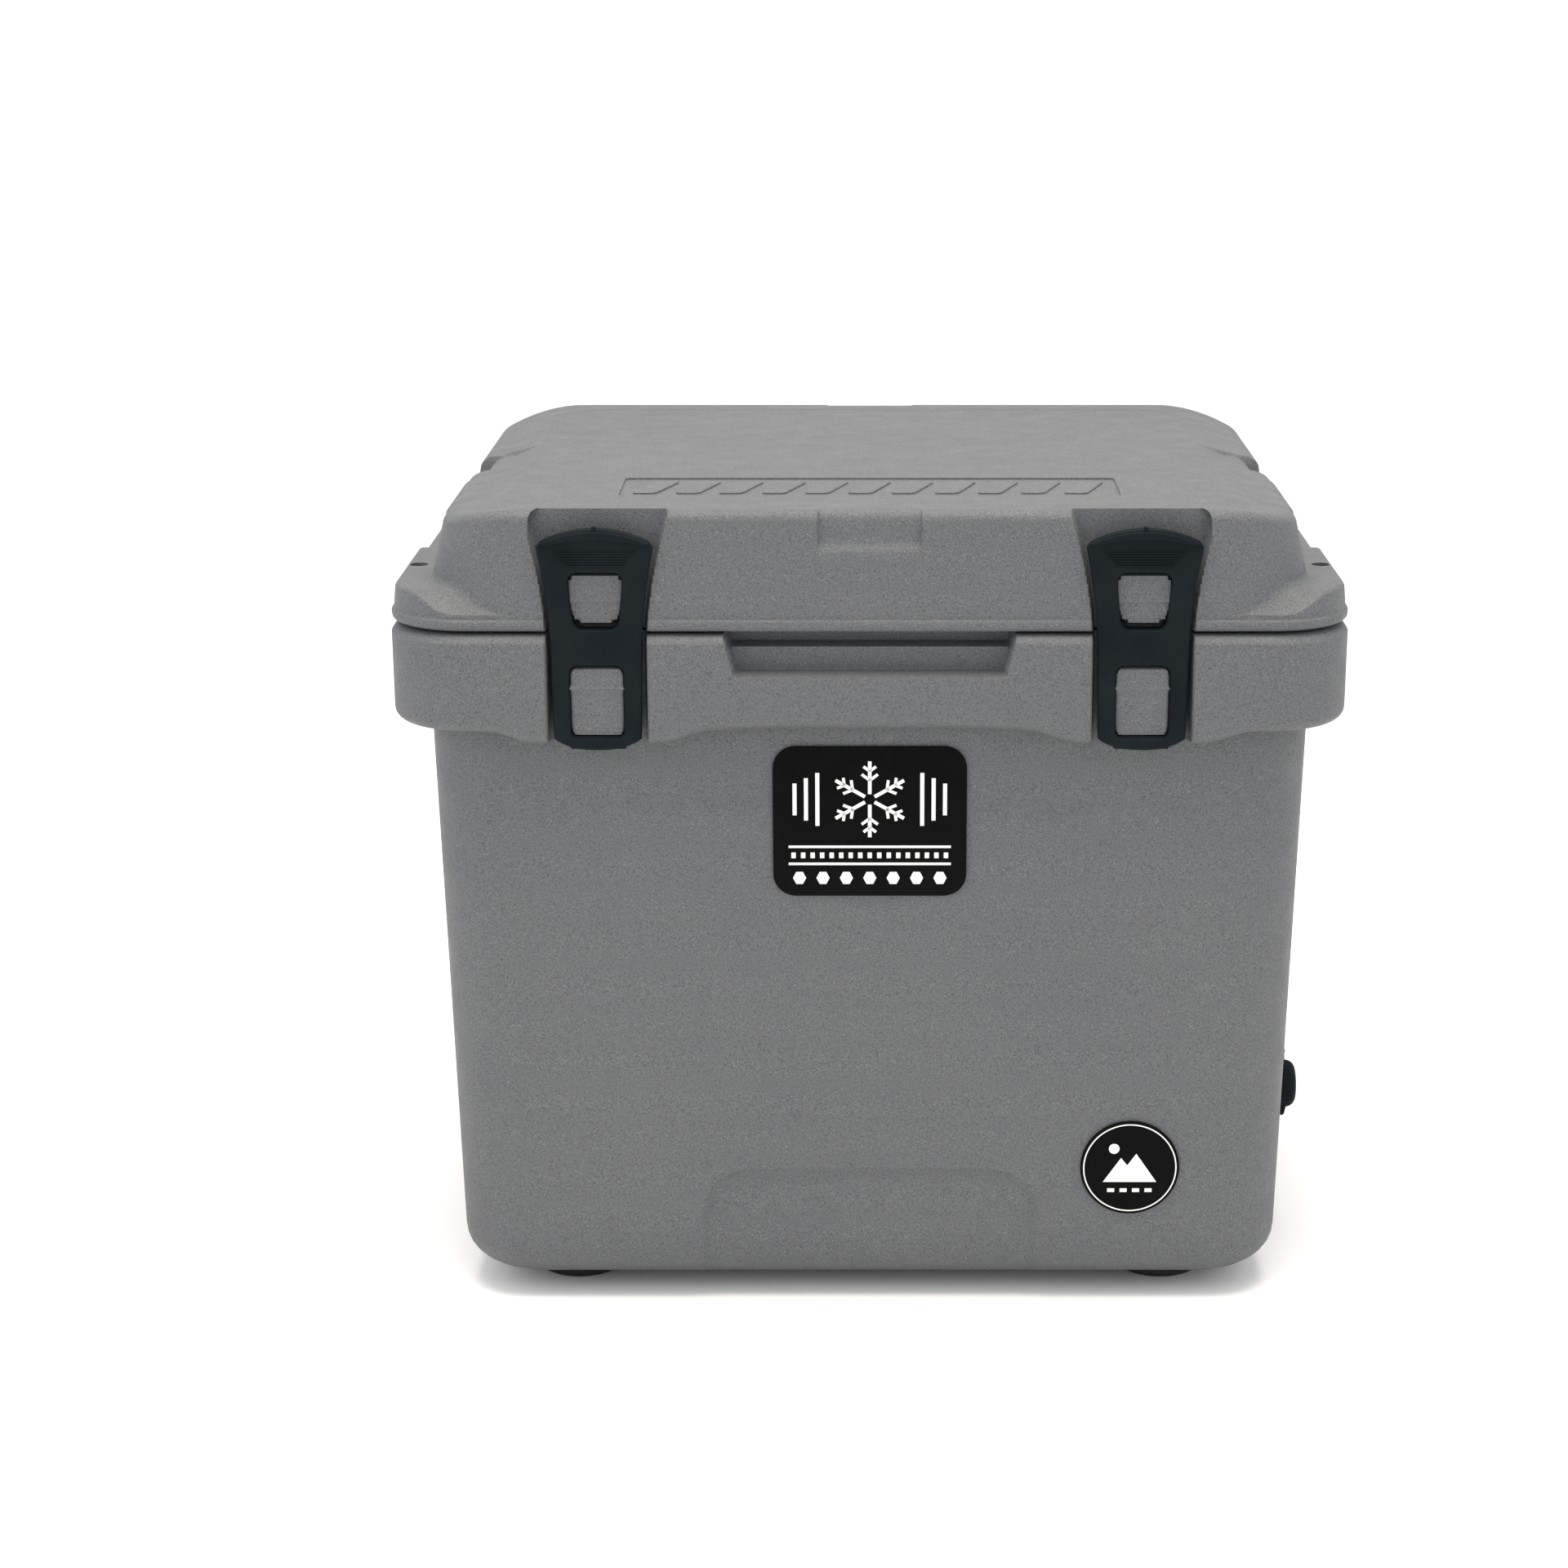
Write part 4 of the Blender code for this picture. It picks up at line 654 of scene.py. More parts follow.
def make_lid():
    shape = Shape().grid(bevelled(lid_rows(), 58, 1))
    lid = shape.make("lid_skin", "lid", "grey_plastic", "lid_shell")
    outline = rounded_rect(0.1372, 0.0300, 0.004, 0, MARK_Y)
    floor = [(x, y, TOP - 0.0016) for x, y in grown(outline, -0.0006)]
    mark = Shape().grid([floor, [(x, y, TOP + 0.004) for x, y in outline]])
    hinge_room = knuckles(BODY_KNUCKLES, KNUCKLE + 0.0012, 0.0008)
    for cutter in (tie_cutters(PARTING - 0.02, PARTING + 0.05), hinge_room, mark):
        cut(lid, cutter)
    knuckles(LID_KNUCKLES, KNUCKLE, 0).make("lid_knuckles", "lid", "grey_plastic")
    pattern = Shape()
    lozenge = rounded_rect(0.0066, 0.0190, 0.0030)
    for k in range(-5, 6):
        leaning = [(k * 0.0236 + x + y * 0.30, y + MARK_Y) for x, y in lozenge]
        rings = [[(x, y, TOP - 0.0022) for x, y in leaning], [(x, y, TOP - 0.0009) for x, y in leaning]]
        rings += [[(x, y, TOP - 0.0005) for x, y in grown(leaning, -0.0005)]]
        pattern.grid(rings)
    pattern.make("lid_top_pattern", "lid", "grey_plastic")


def make_lid_foam():
    """The foam inside the lid, kept clear of the skin round it."""
    low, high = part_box("lid_foam")
    rows = []
    levels = [(0.0180, low.z + 0.0010), (0.0140, low.z + 0.0040), (0.0150, high.z - 0.0160)]
    levels += [(0.0260, high.z - 0.0060), (0.0320, high.z - 0.0035)]
    for inset, z in levels:
        outline = rounded_rect(high.x - inset, high.y - inset * 0.75, 0.030, 0, (low.y + high.y) / 2, 8)
        rows.append([(x, y, z) for x, y in outline])
    Shape().grid(rows).make("lid_foam_fill", "lid", "foam", "lid_foam")


# ==== latches
def latch_half(rise):
    """Half width of a latch at a height above the parting line."""
    heights = (-0.064, -0.050, 0.0, 0.012, 0.025, 0.038, 0.046, 0.0495)
    halves = (0.0231, 0.0238, 0.0247, 0.0254, 0.0271, 0.0293, 0.0309, 0.0312)
    return float(np.interp(rise, heights, halves))


def latch_outline(crown, low):
    right = [(latch_half(z), z) for z in np.linspace(low + 0.0062, 0.0480, 34)]
    top = []
    for x in np.linspace(1, -1, 31):
        soft = 0.0016 * max(0.0, abs(x) - 0.93) / 0.07
        top.append((x * 0.0306, 0.0500 + (crown - 0.0500) * (1 - x * x) - soft))
    left = [(-x, z) for x, z in reversed(right)]
    bottom = []
    for x in np.linspace(-1, 1, 21)[1:-1]:
        bottom.append((x * latch_half(low), low + 0.0058 * abs(x) ** 2.6))
    return right + top + left + bottom


def latch_window(low, high, half, foot_half, corner):
    points = rounded_rect(half, (high - low) / 2, corner, 0, (high + low) / 2, 6)
    shaped = []
    for x, z in points:
        t = min(1.0, max(0.0, (z - low) / (high - low)))
        shaped.append((x * (foot_half + (half - foot_half) * min(1, t * 2.2)) / half, z))
    return shaped


def holed_plate(outline, holes, face, back, edge, offset):
    """A plate facing -Y with rounded edges round its outline and its windows."""
    bm = bmesh.new()
    lasts = []
    firsts = []
    for loop, way in [(outline, -1)] + [(hole, 1) for hole in holes]:
        rings = [(back, 0.0)]
        rings += [(face + edge * off_sine, edge * off_cosine) for off_sine, off_cosine in quarter(4)]
        made = []
        for y, amount in rings:
            points = grown(loop, way * amount)
            made.append([bm.verts.new((x + offset, y, z + PARTING)) for x, z in points])
        for lower, upper in zip(made, made[1:]):
            for i in range(len(lower)):
                j = (i + 1) % len(lower)
                bm.faces.new((lower[i], lower[j], upper[j], upper[i]))
        lasts.append(made[-1])
        firsts.append(made[0])
    for group in (lasts, firsts):
        edges = [bm.edges.get(ends) for ring in group for ends in zip(ring, ring[1:] + ring[:1])]
        bmesh.ops.triangle_fill(bm, use_beauty=True, use_dissolve=False, edges=edges)
    bmesh.ops.recalc_face_normals(bm, faces=bm.faces)
    return bm


def make_plate(bm, name, body, node=None):
    mesh = bpy.data.meshes.new(name)
    bm.to_mesh(mesh)
    bm.free()
    obj = bpy.data.objects.new(name, mesh)
    return dress(obj, body, "latch_rubber", node, 30)


def make_latches():
    front = -D + 0.0009
    low = LATCH_BOTTOM - PARTING
    crown_top = LATCH_TOP - PARTING
    holes = [latch_window(0.0030, 0.0336, 0.0144, 0.0113, 0.0048)]
    holes.append(latch_window(-0.0563, -0.0168, 0.0143, 0.0143, 0.0042))
    inner = [(min(max(x * 0.90, -0.0240), 0.0240), z) for x, z in latch_outline(0.0540, low + 0.001)]
    across = np.linspace(-1, 1, 33)
    crown = [(t * 0.0268, 0.0484 + 0.0030 * (1 - t * t)) for t in across]
    crown += [(t * 0.0292, 0.0496 + (crown_top - 0.0513) * (1 - t * t)) for t in across[::-1]]
    nub = [(LEAST, -0.0012), (0.0009, -0.0010), (0.0012, 0.0), (0.0012, 0.0016)]
    barrel = [(LEAST, -0.0150), (0.0030, -0.0150), (0.0037, -0.0140)]
    barrel += [(0.0037, 0.0140), (0.0030, 0.0150), (LEAST, 0.0150)]
    pin = [(LEAST, -0.0166), (0.0015, -0.0165), (0.0015, 0.0165), (LEAST, 0.0166)]
    for side, name in ((-1, "latch_left"), (1, "latch_right")):
        x = side * LATCH_X
        plate = holed_plate(latch_outline(crown_top, low), holes, front, front + 0.0028, 0.0020, x)
        make_plate(plate, name + "_face", name, name)
        plate = holed_plate(inner, holes, front + 0.0022, front + 0.0088, 0.0004, x)
        make_plate(plate, name + "_back", name)
        shape = Shape()
        shape.prism([(a + x, b + PARTING) for a, b in crown], front - 0.0011, front + 0.002, 0.0009)
        for k in range(7):
            rib = rounded_rect(0.0150 + 0.0013 * k, 0.00040, 0.00038, x, PARTING + 0.0376 + 0.00142 * k, 4)
            shape.prism(rib, front - 0.00055, front + 0.001, 0.0003, steps=2)
        mark = circle(0.0050, 40, x, PARTING - 0.0075, 0.0030)
        shape.prism(mark, front - 0.0003, front + 0.001, 0.0002, steps=2)
        shape.turned(nub, (x, front + 0.0010, LATCH_TOP - 0.0002), "y", 16)
        pivot = (x, front + 0.0046, LATCH_BOTTOM + 0.0038)
        shape.turned(barrel, pivot, "x", 28)
        shape.make(name + "_details", name, "latch_rubber", angle=34)
        pin_name = name.replace("latch", "latch_pin")
        Shape().turned(pin, pivot, "x", 20).make(pin_name + "_steel", "body", "steel", pin_name)


# ==== feet, drain, hinge and gasket
def make_feet():
    top = BASE + 0.0036
    low = 0.0048
    foot = [(0.0062, 0.0080), (0.0066, 0.0012), (0.0074, 0.0003)]
    groove = ((-0.0010, 0.0), (-0.0006, 0.0008), (0.0006, 0.0008), (0.0010, 0.0))
    for ring in (0.0110, 0.0150, 0.0190):
        foot += [(ring + off, z) for off, z in groove]
    foot += [(FOOT_R - 0.0040, 0.0), (FOOT_R - 0.0022, 0.0005), (FOOT_R - 0.0010, 0.0018)]
    foot += [(FOOT_R - 0.0003, 0.0036), (FOOT_R - 0.0001, 0.0060), (FOOT_R - 0.0001, top - 0.0010)]
    foot += [(FOOT_R - 0.0008, top), (0.0062, top)]
    screw = [(LEAST, low + 0.0012), (0.0016, low + 0.0012), (0.0018, low + 0.0001), (0.0034, low)]
    screw += [(0.0044, low + 0.0006), (0.0050, low + 0.0016), (0.0050, low + 0.0029)]
    screw += [(0.0021, low + 0.0029), (0.0021, low + 0.0150), (LEAST, low + 0.0180)]
    for sx, across in ((-1, "left"), (1, "right")):
        for sy, along in ((-1, "front"), (1, "back")):
            name = along + "_" + across
            centre = (sx * FOOT_X, sy * FOOT_Y, 0)
            pad = Shape().turned(foot, centre, "z", 72)
            pad.make("foot_" + name + "_rubber", "body", "black_rubber", "foot_" + name)
            head = Shape().turned(screw, centre, "z", 32)
            head.make("foot_screw_" + name + "_steel", "body", "steel", "foot_screw_" + name)


def ear(turn):
    """Points round the top of a hinge ear on the drain, from an angle in degrees through 190 more."""
    turns = [math.radians(turn + 190 * k / 11) for k in range(12)]
    return [(PIN_X + 0.0028 * math.cos(a), PIN_Z + 0.0028 * math.sin(a)) for a in turns]


def make_fitting():
    face = SEAL_HIGH.x + 0.0003
    out = face + 0.0040
    flange = DRAIN_R + 0.0008
    fitting = Shape()
    profile = [(0.0090, NUT_LOW.x - 0.002), (0.0122, NUT_LOW.x - 0.002), (0.0124, NUT_LOW.x - 0.001)]
    profile += [(0.0124, face), (flange - 0.0003, face), (flange, face + 0.0006), (flange, out - 0.0018)]
    profile += [(flange - 0.0005, out - 0.0007), (flange - 0.0016, out), (0.0158, out)]
    profile += [(0.0154, out - 0.0005), (0.0150, out), (0.0100, out), (0.0090, out - 0.0010)]
    fitting.pipe(profile, DRAIN_CENTRE, "x", 72)
    foot_z = DRAIN_Z + flange * 0.72
    outline = [(face + 0.0006, foot_z), (out - 0.0004, foot_z), *ear(-40), (face + 0.0006, PIN_Z)]
    for way in (-1, 1):
        y0, y1 = sorted((DRAIN_Y + way * 0.0044, DRAIN_Y + way * 0.0070))
        widths = ((y0, -0.0004), (y0 + 0.0004, 0), (y1 - 0.0004, 0), (y1, -0.0004))
        fitting.grid([[(x, y, z) for x, z in grown(outline, amount)] for y, amount in widths])
    dot = [(LEAST, out + 0.0007), (0.0006, out + 0.0008), (0.0012, out + 0.0003), (0.0013, out - 0.001)]
    for degrees in (200, 340):
        a = math.radians(degrees)
        fitting.turned(dot, (0, DRAIN_Y + 0.0172 * math.cos(a), DRAIN_Z + 0.0172 * math.sin(a)), "x", 16)
    fitting.make("drain_fitting_flange", "body", "black_plastic", "drain_fitting")


def make_plug():
    cap = SEAL_HIGH.x + 0.0046
    end = cap + 0.0125

    def ridged(a, r, along):
        ridge = 0.00055 * (0.5 + 0.5 * math.cos(28 * a))
        return r - (ridge if r > 0.0125 and along > cap + 0.0017 else 0)

    plug = Shape()
    stub = [(LEAST, -0.0060), (0.0060, -0.0060), (0.0069, -0.0052), (0.0069, -0.0030), (0.0073, -0.0026)]
    stub += [(0.0069, -0.0020), (0.0069, 0), (0.0134, 0), (0.0139, 0.0005)]
    stub += [(0.0139, 0.0022), (0.0140, 0.0032)]
    head = [(0.0140, -0.0052), (0.0134, -0.0030), (0.0122, -0.0014), (0.0104, -0.0003), (0.0092, 0)]
    head += [(0.0086, -0.0010), (0.0060, -0.0013), (LEAST, -0.0013)]
    profile = [(r, cap + along) for r, along in stub] + [(r, end + along) for r, along in head]
    plug.turned(profile, DRAIN_CENTRE, "x", 112, ridged)
    strap = [(cap + 0.0005, DRAIN_Z + 0.0090), (cap + 0.0042, DRAIN_Z + 0.0105)]
    strap += [(PIN_X + 0.0030, DRAIN_Z + 0.0160), *ear(-10), (PIN_X - 0.0026, DRAIN_Z + 0.0165)]
    widths = ((-0.0040, -0.0005), (-0.0035, 0), (0.0035, 0), (0.0040, -0.0005))
    plug.grid([[(x, DRAIN_Y + y, z) for x, z in grown(strap, amount)] for y, amount in widths])
    lip = [(0.0018, 0.0110), (0.0026, 0.0172), (0.0036, 0.0180)]
    lip += [(0.0052, 0.0180), (0.0062, 0.0172), (0.0076, 0.0110)]
    across = (-0.0058, -0.0052, 0.0052, 0.0058)
    plug.grid([[(cap + x, DRAIN_Y + y, DRAIN_Z - z) for x, z in lip] for y in across])
    plug.make("drain_plug_cap", "drain_plug", "latch_rubber", "drain_plug")


def make_seal_and_nut():
    seal_r = DRAIN_R + 0.0001
    profile = [(0.0129, SEAL_LOW.x), (seal_r - 0.0005, SEAL_LOW.x), (seal_r, SEAL_LOW.x + 0.0006)]
    profile += [(seal_r, SEAL_HIGH.x - 0.0006), (seal_r - 0.0005, SEAL_HIGH.x), (0.0129, SEAL_HIGH.x)]
    seal = Shape().pipe(profile, DRAIN_CENTRE, "x", 72)
    seal.make("drain_seal_ring", "body", "black_rubber", "drain_seal")

    def grip(a, r, _):
        return r - (0.0013 * max(0.0, math.cos(6 * a)) ** 3 if r > 0.014 else 0)

    nut_r = (NUT_HIGH.z - NUT_LOW.z) / 2
    profile = [(0.0128, NUT_LOW.x), (nut_r - 0.0012, NUT_LOW.x), (nut_r, NUT_LOW.x + 0.0012)]
    profile += [(nut_r, NUT_HIGH.x - 0.0008), (nut_r - 0.0006, NUT_HIGH.x), (0.0128, NUT_HIGH.x)]
    nut = Shape().pipe(profile, DRAIN_CENTRE, "x", 96, grip)
    nut.make("drain_nut_ring", "body", "black_plastic", "drain_nut")


def make_hinge():
    profile = rod_profile(-HINGE_END, HINGE_END, (ROD_HIGH.z - ROD_LOW.z) / 2, 0.0006)
    rod = Shape().turned(profile, HINGE_CENTRE, "x", 48)
    rod.make("hinge_rod_steel", "body", "steel", "hinge_rod")
    knob = [(LEAST, 0.0), (0.0063, 0.0), (0.0065, 0.0004), (0.0065, 0.0020), (0.0060, 0.0030)]
    knob += [(0.0048, 0.0036), (0.0026, 0.0037), (0.0022, 0.0031), (LEAST, 0.0030)]
    for side, name in ((-1, "hinge_rod_cap_left"), (1, "hinge_rod_cap_right")):
        profile = [(r, side * (HINGE_END + 0.0003 + along)) for r, along in knob]
        cap = Shape().turned(profile, HINGE_CENTRE, "x", 40)
        cap.make(name + "_knob", "body", "black_plastic", name)


def make_gasket():
    """A soft strip with a rounded crest, round the ice box's mouth."""
    half_w = GASKET_HIGH.x - 0.0050
    half_d = GASKET_HIGH.y - 0.0050
    loops = []
    section = [(0.0048, 0.0038), (0.0049, 0.0016), (0.0042, 0.0008)]
    for k in range(9):
        a = math.pi * k / 8
        section.append((0.0034 * math.cos(a), 0.0008 - 0.0008 * math.sin(a)))
    section += [(-0.0042, 0.0008), (-0.0049, 0.0016), (-0.0048, 0.0038)]
    for grow, z in section:
        outline = rounded_rect(half_w + grow, half_d + grow, 0.034 + grow, steps=12)
        loops.append([(x, y, GASKET_LOW.z + z * 3.0 / 3.8) for x, y in outline])
    strip = Shape().grid(loops + [loops[0]], (False, False))
    strip.make("lid_gasket_strip", "lid", "black_rubber", "lid_gasket")


# ==== badges
BADGE_THICK = 0.0011


def badge(node, outline, marks):
    """A plate on the drafted front wall. Gives the shape of its raised print, and its own frame."""
    low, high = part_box(node)
    middle = Vector(((low.x + high.x) / 2, (low.y + high.y) / 2 + 0.0004, (low.z + high.z) / 2))
    place = Matrix.Translation(middle) @ Matrix.Rotation(DRAFT_ANGLE, 4, "X")
    plate = Shape().prism(outline, -BADGE_THICK, 0, 0.00035, place, 3)
    plate.make(node + "_plate", "body", "badge_vinyl", node)
    raised = Shape()
    for mark in marks:
        levels = (-BADGE_THICK + 0.0001, -BADGE_THICK - 0.00012)
        raised.grid([[(x, y, z) for x, z in mark] for y in levels], place=place)
    return raised, place


def bar(x0, z0, x1, z1, half):
    """A thin bar between two points."""
    along = Vector((x1 - x0, z1 - z0)).normalized()
    nx, nz = -along.y * half, along.x * half
    return [(x0 + nx, z0 + nz), (x0 - nx, z0 - nz), (x1 - nx, z1 - nz), (x1 + nx, z1 + nz)]


def flake(x, z, size, half):
    """A plain six-armed ice crystal."""
    marks = []
    for k in range(6):
        a = math.radians(60 * k + 30)
        ca, sa = math.cos(a), math.sin(a)
        marks.append(bar(x + ca * size * 0.14, z + sa * size * 0.14, x + ca * size, z + sa * size, half))
        for reach, branch in ((0.50, 0.26), (0.74, 0.20)):
            for way in (-1, 1):
                b = a + way * math.radians(52)
                x0, z0 = x + ca * size * reach, z + sa * size * reach
                x1, z1 = x0 + math.cos(b) * size * branch, z0 + math.sin(b) * size * branch
                marks.append(bar(x0, z0, x1, z1, half * 0.8))
    return marks


def make_badges():
    half_w = (BADGE_HIGH.x - BADGE_LOW.x) / 2
    half_h = (BADGE_HIGH.z - BADGE_LOW.z) / 2
    marks = flake(0, half_h * 0.30, 0.0215, 0.0010)
    for z in (-half_h * 0.335, -half_h * 0.565):
        marks.append(bar(-half_w + 0.0085, z, half_w - 0.0085, z, 0.0007))
    for k in range(-8, 9):
        marks.append(bar(k * 0.0052 - 0.0012, -half_h * 0.45, k * 0.0052 + 0.0012, -half_h * 0.45, 0.0016))
    for k in range(-3, 4):
        marks.append(circle(0.0036, 6, k * 0.0128, -half_h * 0.755, 0.0040))
    for side in (-1, 1):
        for k in range(3):
            x = side * (0.0285 + 0.0062 * k)
            reach = 0.0150 - 0.003 * k
            marks.append(bar(x, half_h * 0.30 - reach, x, half_h * 0.30 + reach, 0.0011))
    outline = rounded_rect(half_w, half_h, 0.0125, steps=10)
    raised, _ = badge("front_badge", outline, marks)
    raised.make("front_badge_print", "body", "badge_vinyl", mat="badge_print")

    radius = (ROUND_HIGH.x - ROUND_LOW.x) / 2
    peaks = [(-0.0150, -0.0085), (-0.0050, 0.0060), (-0.0015, 0.0015), (0.0035, 0.0085), (0.0150, -0.0085)]
    marks = [peaks]
    for k in range(4):
        x = -0.0105 + 0.0070 * k
        marks.append(bar(x - 0.0020, -0.0135, x + 0.0020, -0.0135, 0.0011))
    marks.append(circle(0.0030, 20, -0.0090, 0.0115))
    raised, place = badge("round_badge", circle(radius, 96), marks)
    outer, inner = (circle(radius - 0.0019 + way * 0.00035, 96) for way in (1, -1))
    loops = []
    for loop, y in ((outer, 0.0), (outer, -0.00022), (inner, -0.00022), (inner, 0.0)):
        loops.append([(a, y, b) for a, b in loop])
    ring_place = place @ Matrix.Translation((0, -0.0010, 0))
    raised.grid(loops + [loops[0]], (False, False), ring_place)
    raised.make("round_badge_print", "body", "badge_vinyl", mat="badge_print")


# ==== materials
class Finish:
    """A principled material with procedural colour, roughness and relief."""

    def __init__(self, name, color, roughness, metallic=0.0, specular=0.5):
        self.mat = bpy.data.materials.new(name)
        self.mat.use_nodes = True
        self.tree = self.mat.node_tree
        self.shader = self.tree.nodes["Principled BSDF"]
        self.color = color
        self.shader.inputs["Base Color"].default_value = (*color, 1)
        self.shader.inputs["Roughness"].default_value = roughness
        self.shader.inputs["Metallic"].default_value = metallic
        self.shader.inputs["Specular IOR Level"].default_value = specular
        self.where = self.tree.nodes.new("ShaderNodeTexCoord").outputs["Object"]
        self.relief = None

    def node(self, kind, **values):
        made = self.tree.nodes.new(kind)
        for key, value in values.items():
            if key in made.inputs:
                made.inputs[key].default_value = value
            else:
                setattr(made, key, value)
        return made

    def noise(self, scale, detail=2.0, rough=0.5, stretch=None):
        made = self.node("ShaderNodeTexNoise", Scale=scale, Detail=detail, Roughness=rough)
        source = self.where
        if stretch:
            mapping = self.node("ShaderNodeMapping")
            mapping.inputs["Scale"].default_value = stretch
            self.tree.links.new(source, mapping.inputs["Vector"])
            source = mapping.outputs["Vector"]
        self.tree.links.new(source, made.inputs["Vector"])
        return made.outputs["Fac"]

    def cells(self, scale):
        made = self.node("ShaderNodeTexVoronoi", Scale=scale)
        made.feature = "SMOOTH_F1"
        self.tree.links.new(self.where, made.inputs["Vector"])
        return made.outputs["Distance"]

    def between(self, source, low, high, start=0.3, end=0.7):
        """The source remapped onto low to high."""
        made = self.node("ShaderNodeMapRange")
        for key, value in (("From Min", start), ("From Max", end), ("To Min", low), ("To Max", high)):
            made.inputs[key].default_value = value
        self.tree.links.new(source, made.inputs["Value"])
        return made.outputs["Result"]

    def tint(self, source, other, amount_low=0.0, amount_high=1.0, start=0.3, end=0.7):
        """Mixes another colour into the base colour by the source."""
        made = self.node("ShaderNodeMix")
        made.data_type = "RGBA"
        made.inputs[7].default_value = (*other, 1)
        base = self.shader.inputs["Base Color"]
        if base.is_linked:
            self.tree.links.new(base.links[0].from_socket, made.inputs[6])
        else:
            made.inputs[6].default_value = (*self.color, 1)
        self.tree.links.new(self.between(source, amount_low, amount_high, start, end), made.inputs[0])
        self.tree.links.new(made.outputs[2], base)

    def rough(self, source, low, high, start=0.3, end=0.7):
        self.tree.links.new(self.between(source, low, high, start, end), self.shader.inputs["Roughness"])

    def bump(self, source, distance, strength=1.0):
        made = self.node("ShaderNodeBump", Strength=strength, Distance=distance)
        self.tree.links.new(source, made.inputs["Height"])
        if self.relief:
            self.tree.links.new(self.relief, made.inputs["Normal"])
        self.relief = made.outputs["Normal"]
        self.tree.links.new(self.relief, self.shader.inputs["Normal"])


def make_materials():
    plastic = Finish("grey_rotomoulded_plastic", (0.103, 0.1070, 0.115), 0.60, specular=0.24)
    grain = plastic.noise(950, 3.0, 0.62)
    plastic.tint(plastic.noise(9, 3.0, 0.55), (0.111, 0.1150, 0.122), 0, 0.7)
    plastic.tint(grain, (0.048, 0.050, 0.053), 0.80, 0, 0.30, 0.52)
    plastic.tint(plastic.noise(1500, 1.0), (0.210, 0.215, 0.222), 0, 0.70, 0.56, 0.74)
    plastic.rough(plastic.noise(60, 3.0), 0.50, 0.64)
    plastic.bump(grain, 0.00035, 0.60)
    plastic.bump(plastic.noise(34, 2.0), 0.0004, 0.03)
    rubber = Finish("latch_rubber", (0.0048, 0.0078, 0.0102), 0.58, specular=0.05)
    rubber.tint(rubber.noise(40, 4.0), (0.0095, 0.0130, 0.0155), 0, 0.8)
    rubber.rough(rubber.noise(150, 3.0), 0.46, 0.60)
    rubber.bump(rubber.noise(1400, 2.0), 0.00012, 0.35)
    rubber.bump(rubber.noise(70, 2.0), 0.0004, 0.08)
    black = Finish("black_rubber", (0.0130, 0.0130, 0.0135), 0.68, specular=0.3)
    black.tint(black.noise(60, 5.0, 0.65), (0.040, 0.038, 0.035), 0, 0.6, 0.45, 0.75)
    black.rough(black.noise(200), 0.6, 0.8)
    black.bump(black.noise(900, 3.0), 0.0002, 0.5)
    nylon = Finish("black_plastic", (0.0140, 0.0170, 0.0200), 0.42, specular=0.45)
    nylon.tint(nylon.noise(50, 4.0), (0.0260, 0.0290, 0.0320), 0, 0.7)
    nylon.rough(nylon.noise(120, 3.0), 0.34, 0.52)
    nylon.bump(nylon.noise(1100, 2.0), 0.00015, 0.4)
    steel = Finish("stainless_steel", (0.56, 0.56, 0.57), 0.28, 1.0)
    steel.tint(steel.noise(30, 4.0), (0.42, 0.42, 0.43), 0, 0.6)
    steel.rough(steel.noise(220, 3.0, 0.5, (0.06, 1, 1)), 0.20, 0.42)
    steel.bump(steel.noise(900, 2.0, 0.5, (0.05, 1, 1)), 0.00005, 0.4)
    foam = Finish("polyurethane_foam", (0.70, 0.60, 0.36), 0.92, specular=0.2)
    foam.tint(foam.noise(35, 4.0), (0.56, 0.44, 0.22), 0, 0.8)
    foam.bump(foam.cells(420), 0.0006, 0.9)
    foam.rough(foam.noise(90), 0.85, 0.98)
    vinyl = Finish("badge_vinyl", (0.0012, 0.0013, 0.0014), 0.45, specular=0.05)
    vinyl.tint(vinyl.noise(80, 4.0), (0.0030, 0.0030, 0.0034), 0, 0.8)
    vinyl.rough(vinyl.noise(160, 3.0), 0.36, 0.50)
    vinyl.bump(vinyl.noise(500, 2.0), 0.00006, 0.3)
    ink = Finish("badge_print", (0.80, 0.80, 0.79), 0.42, specular=0.4)
    ink.tint(ink.noise(120, 4.0), (0.70, 0.70, 0.68), 0, 0.6)
    ink.rough(ink.noise(200), 0.36, 0.5)
    ink.bump(ink.noise(700), 0.00005, 0.3)
    finishes = {"grey_plastic": plastic, "latch_rubber": rubber, "black_rubber": black}
    finishes |= {"black_plastic": nylon, "steel": steel, "foam": foam}
    finishes |= {"badge_vinyl": vinyl, "badge_print": ink}
    return {slot: finish.mat for slot, finish in finishes.items()}


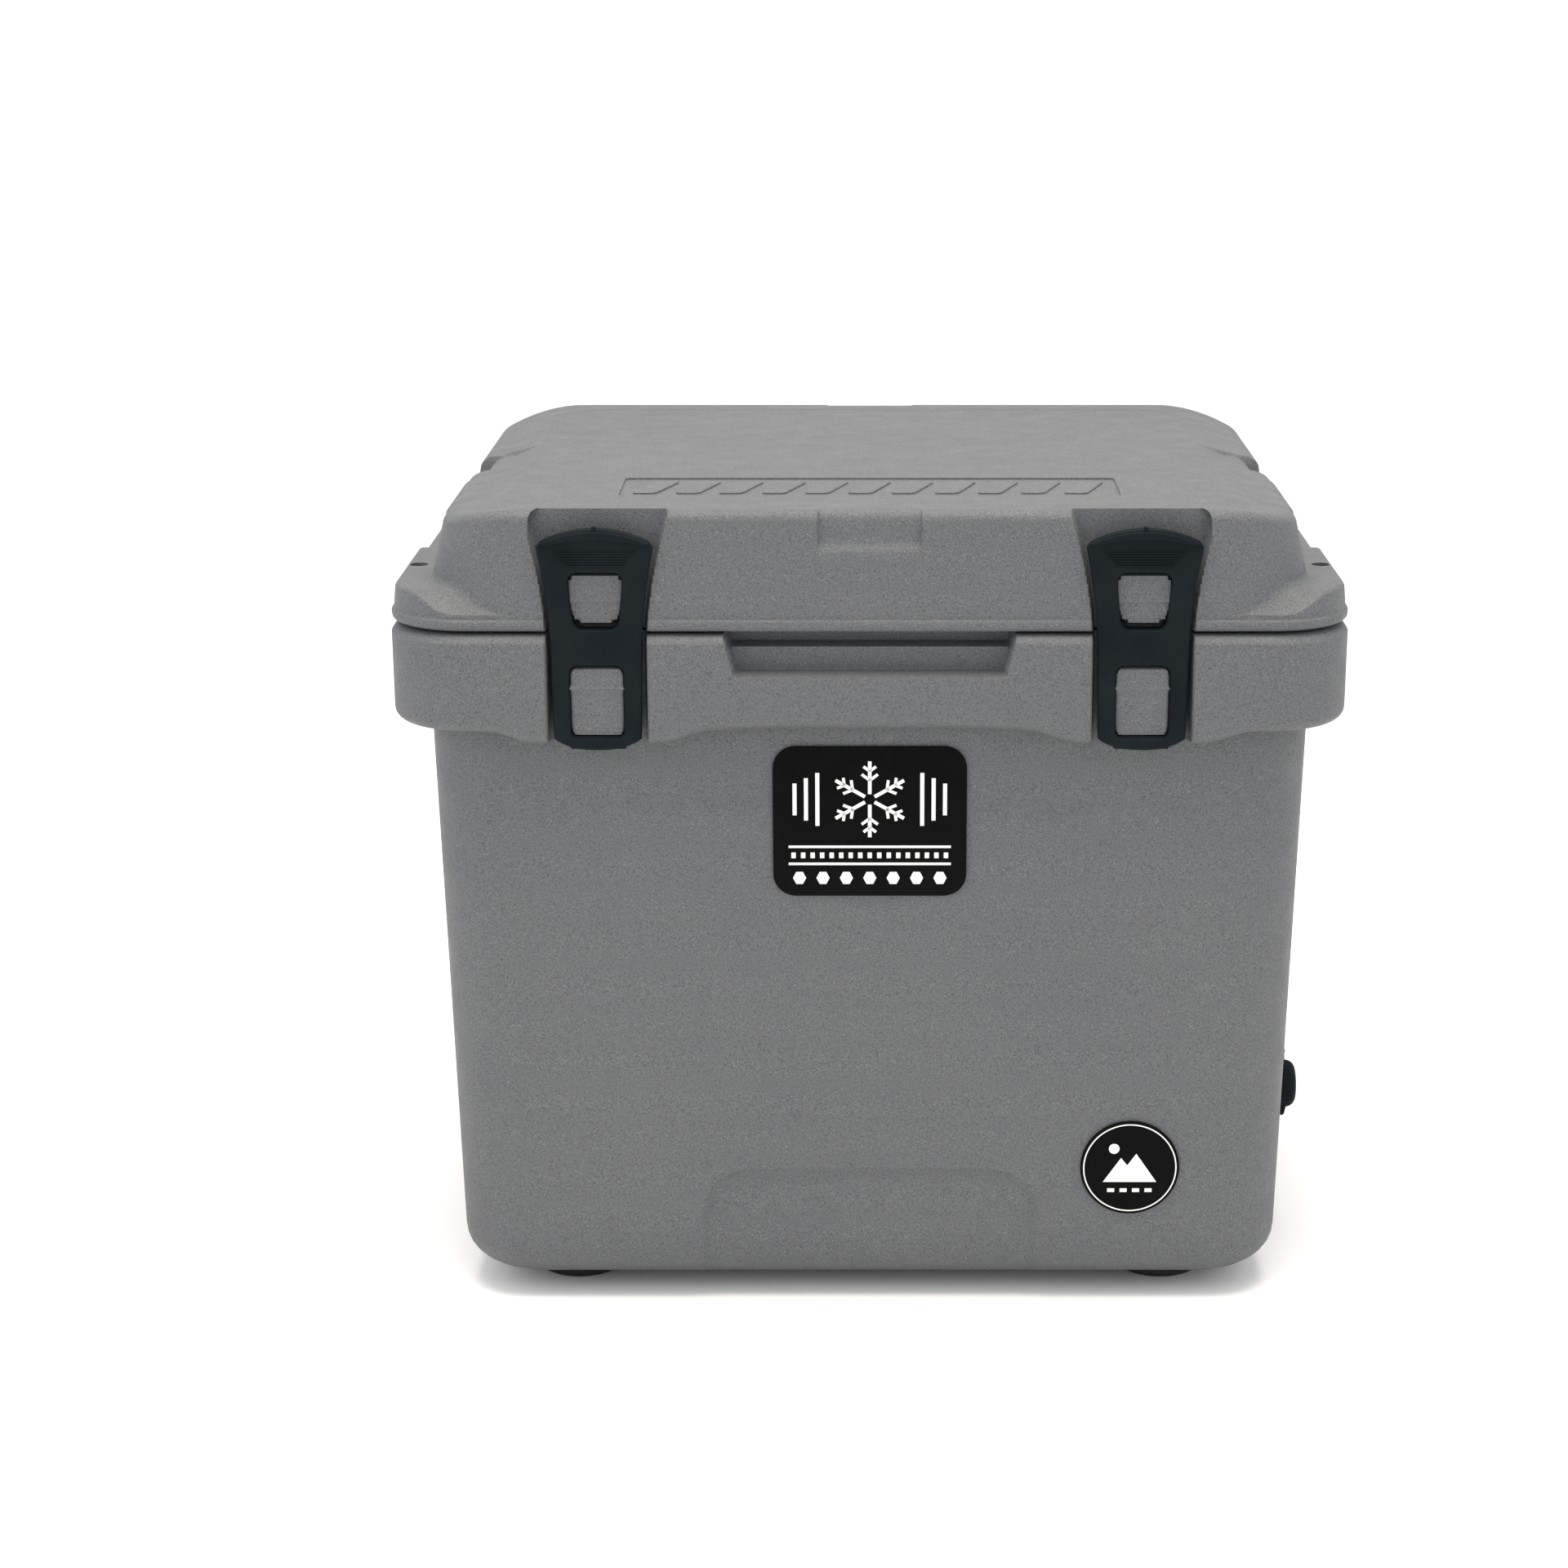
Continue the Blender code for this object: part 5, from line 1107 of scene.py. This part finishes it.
# ==== stage
def make_stage():
    bpy.ops.mesh.primitive_plane_add(size=60, location=(0, 0, -0.0002))
    floor = bpy.context.object
    floor.name = "studio_floor"
    paper = Finish("studio_paper", (0.98, 0.98, 0.98), 0.9, specular=0.1)
    paper.tint(paper.noise(3, 3.0), (0.96, 0.96, 0.96), 0, 0.5)
    paper.bump(paper.noise(400), 0.0002, 0.1)
    floor.data.materials.append(paper.mat)
    world = bpy.data.worlds.new("studio")
    bpy.context.scene.world = world
    world.use_nodes = True
    back = world.node_tree.nodes["Background"]
    back.inputs["Color"].default_value = (1.0, 1.0, 1.0, 1)
    back.inputs["Strength"].default_value = 1.06

    def lamp(name, location, size, power, aim_z, tint=(1, 1, 1)):
        data = bpy.data.lights.new(name, "AREA")
        data.shape = "RECTANGLE"
        data.size, data.size_y = size
        data.energy = power
        data.color = tint
        obj = bpy.data.objects.new(name, data)
        bpy.context.scene.collection.objects.link(obj)
        obj.location = location
        obj.rotation_euler = (Vector((0, 0, aim_z)) - Vector(location)).to_track_quat("-Z", "Y").to_euler()

    lamp("overhead", (0.0, -0.35, 2.4), (1.6, 1.2), 62, 0.4, (1.0, 0.94, 0.83))
    lamp("left_soft", (-2.2, -1.2, 1.3), (1.4, 1.6), 9, 0.25)
    lamp("right_soft", (2.4, -0.8, 1.0), (1.2, 1.4), 5, 0.25)

    data = bpy.data.cameras.new("camera")
    data.sensor_width = 36
    data.lens = 76.33
    data.shift_x = -0.0547
    data.shift_y = -0.0151
    camera = bpy.data.objects.new("camera", data)
    bpy.context.scene.collection.objects.link(camera)
    camera.location = (0, -1.932, 0.7657)
    camera.rotation_euler = (math.radians(90 - 14.345), 0, 0)
    bpy.context.scene.camera = camera
    bpy.context.scene.view_settings.view_transform = "Standard"


# ==== assembly
MATERIALS = make_materials()
for make_piece in (make_body, make_lid, make_latches, make_feet, make_fitting, make_plug):
    make_piece()
for make_piece in (make_seal_and_nut, make_hinge, make_gasket, make_lid_foam, make_badges):
    make_piece()
KEPT = {"body_foam": "foam", "body_fill_plug": "black_plastic"}
KEPT |= {"lid_fill_plug": "black_plastic", "drain_hinge_pin": "steel"}
for node, slot in KEPT.items():
    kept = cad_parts[node]
    kept.data.materials.clear()
    kept.data.materials.append(MATERIALS[slot])
make_stage()
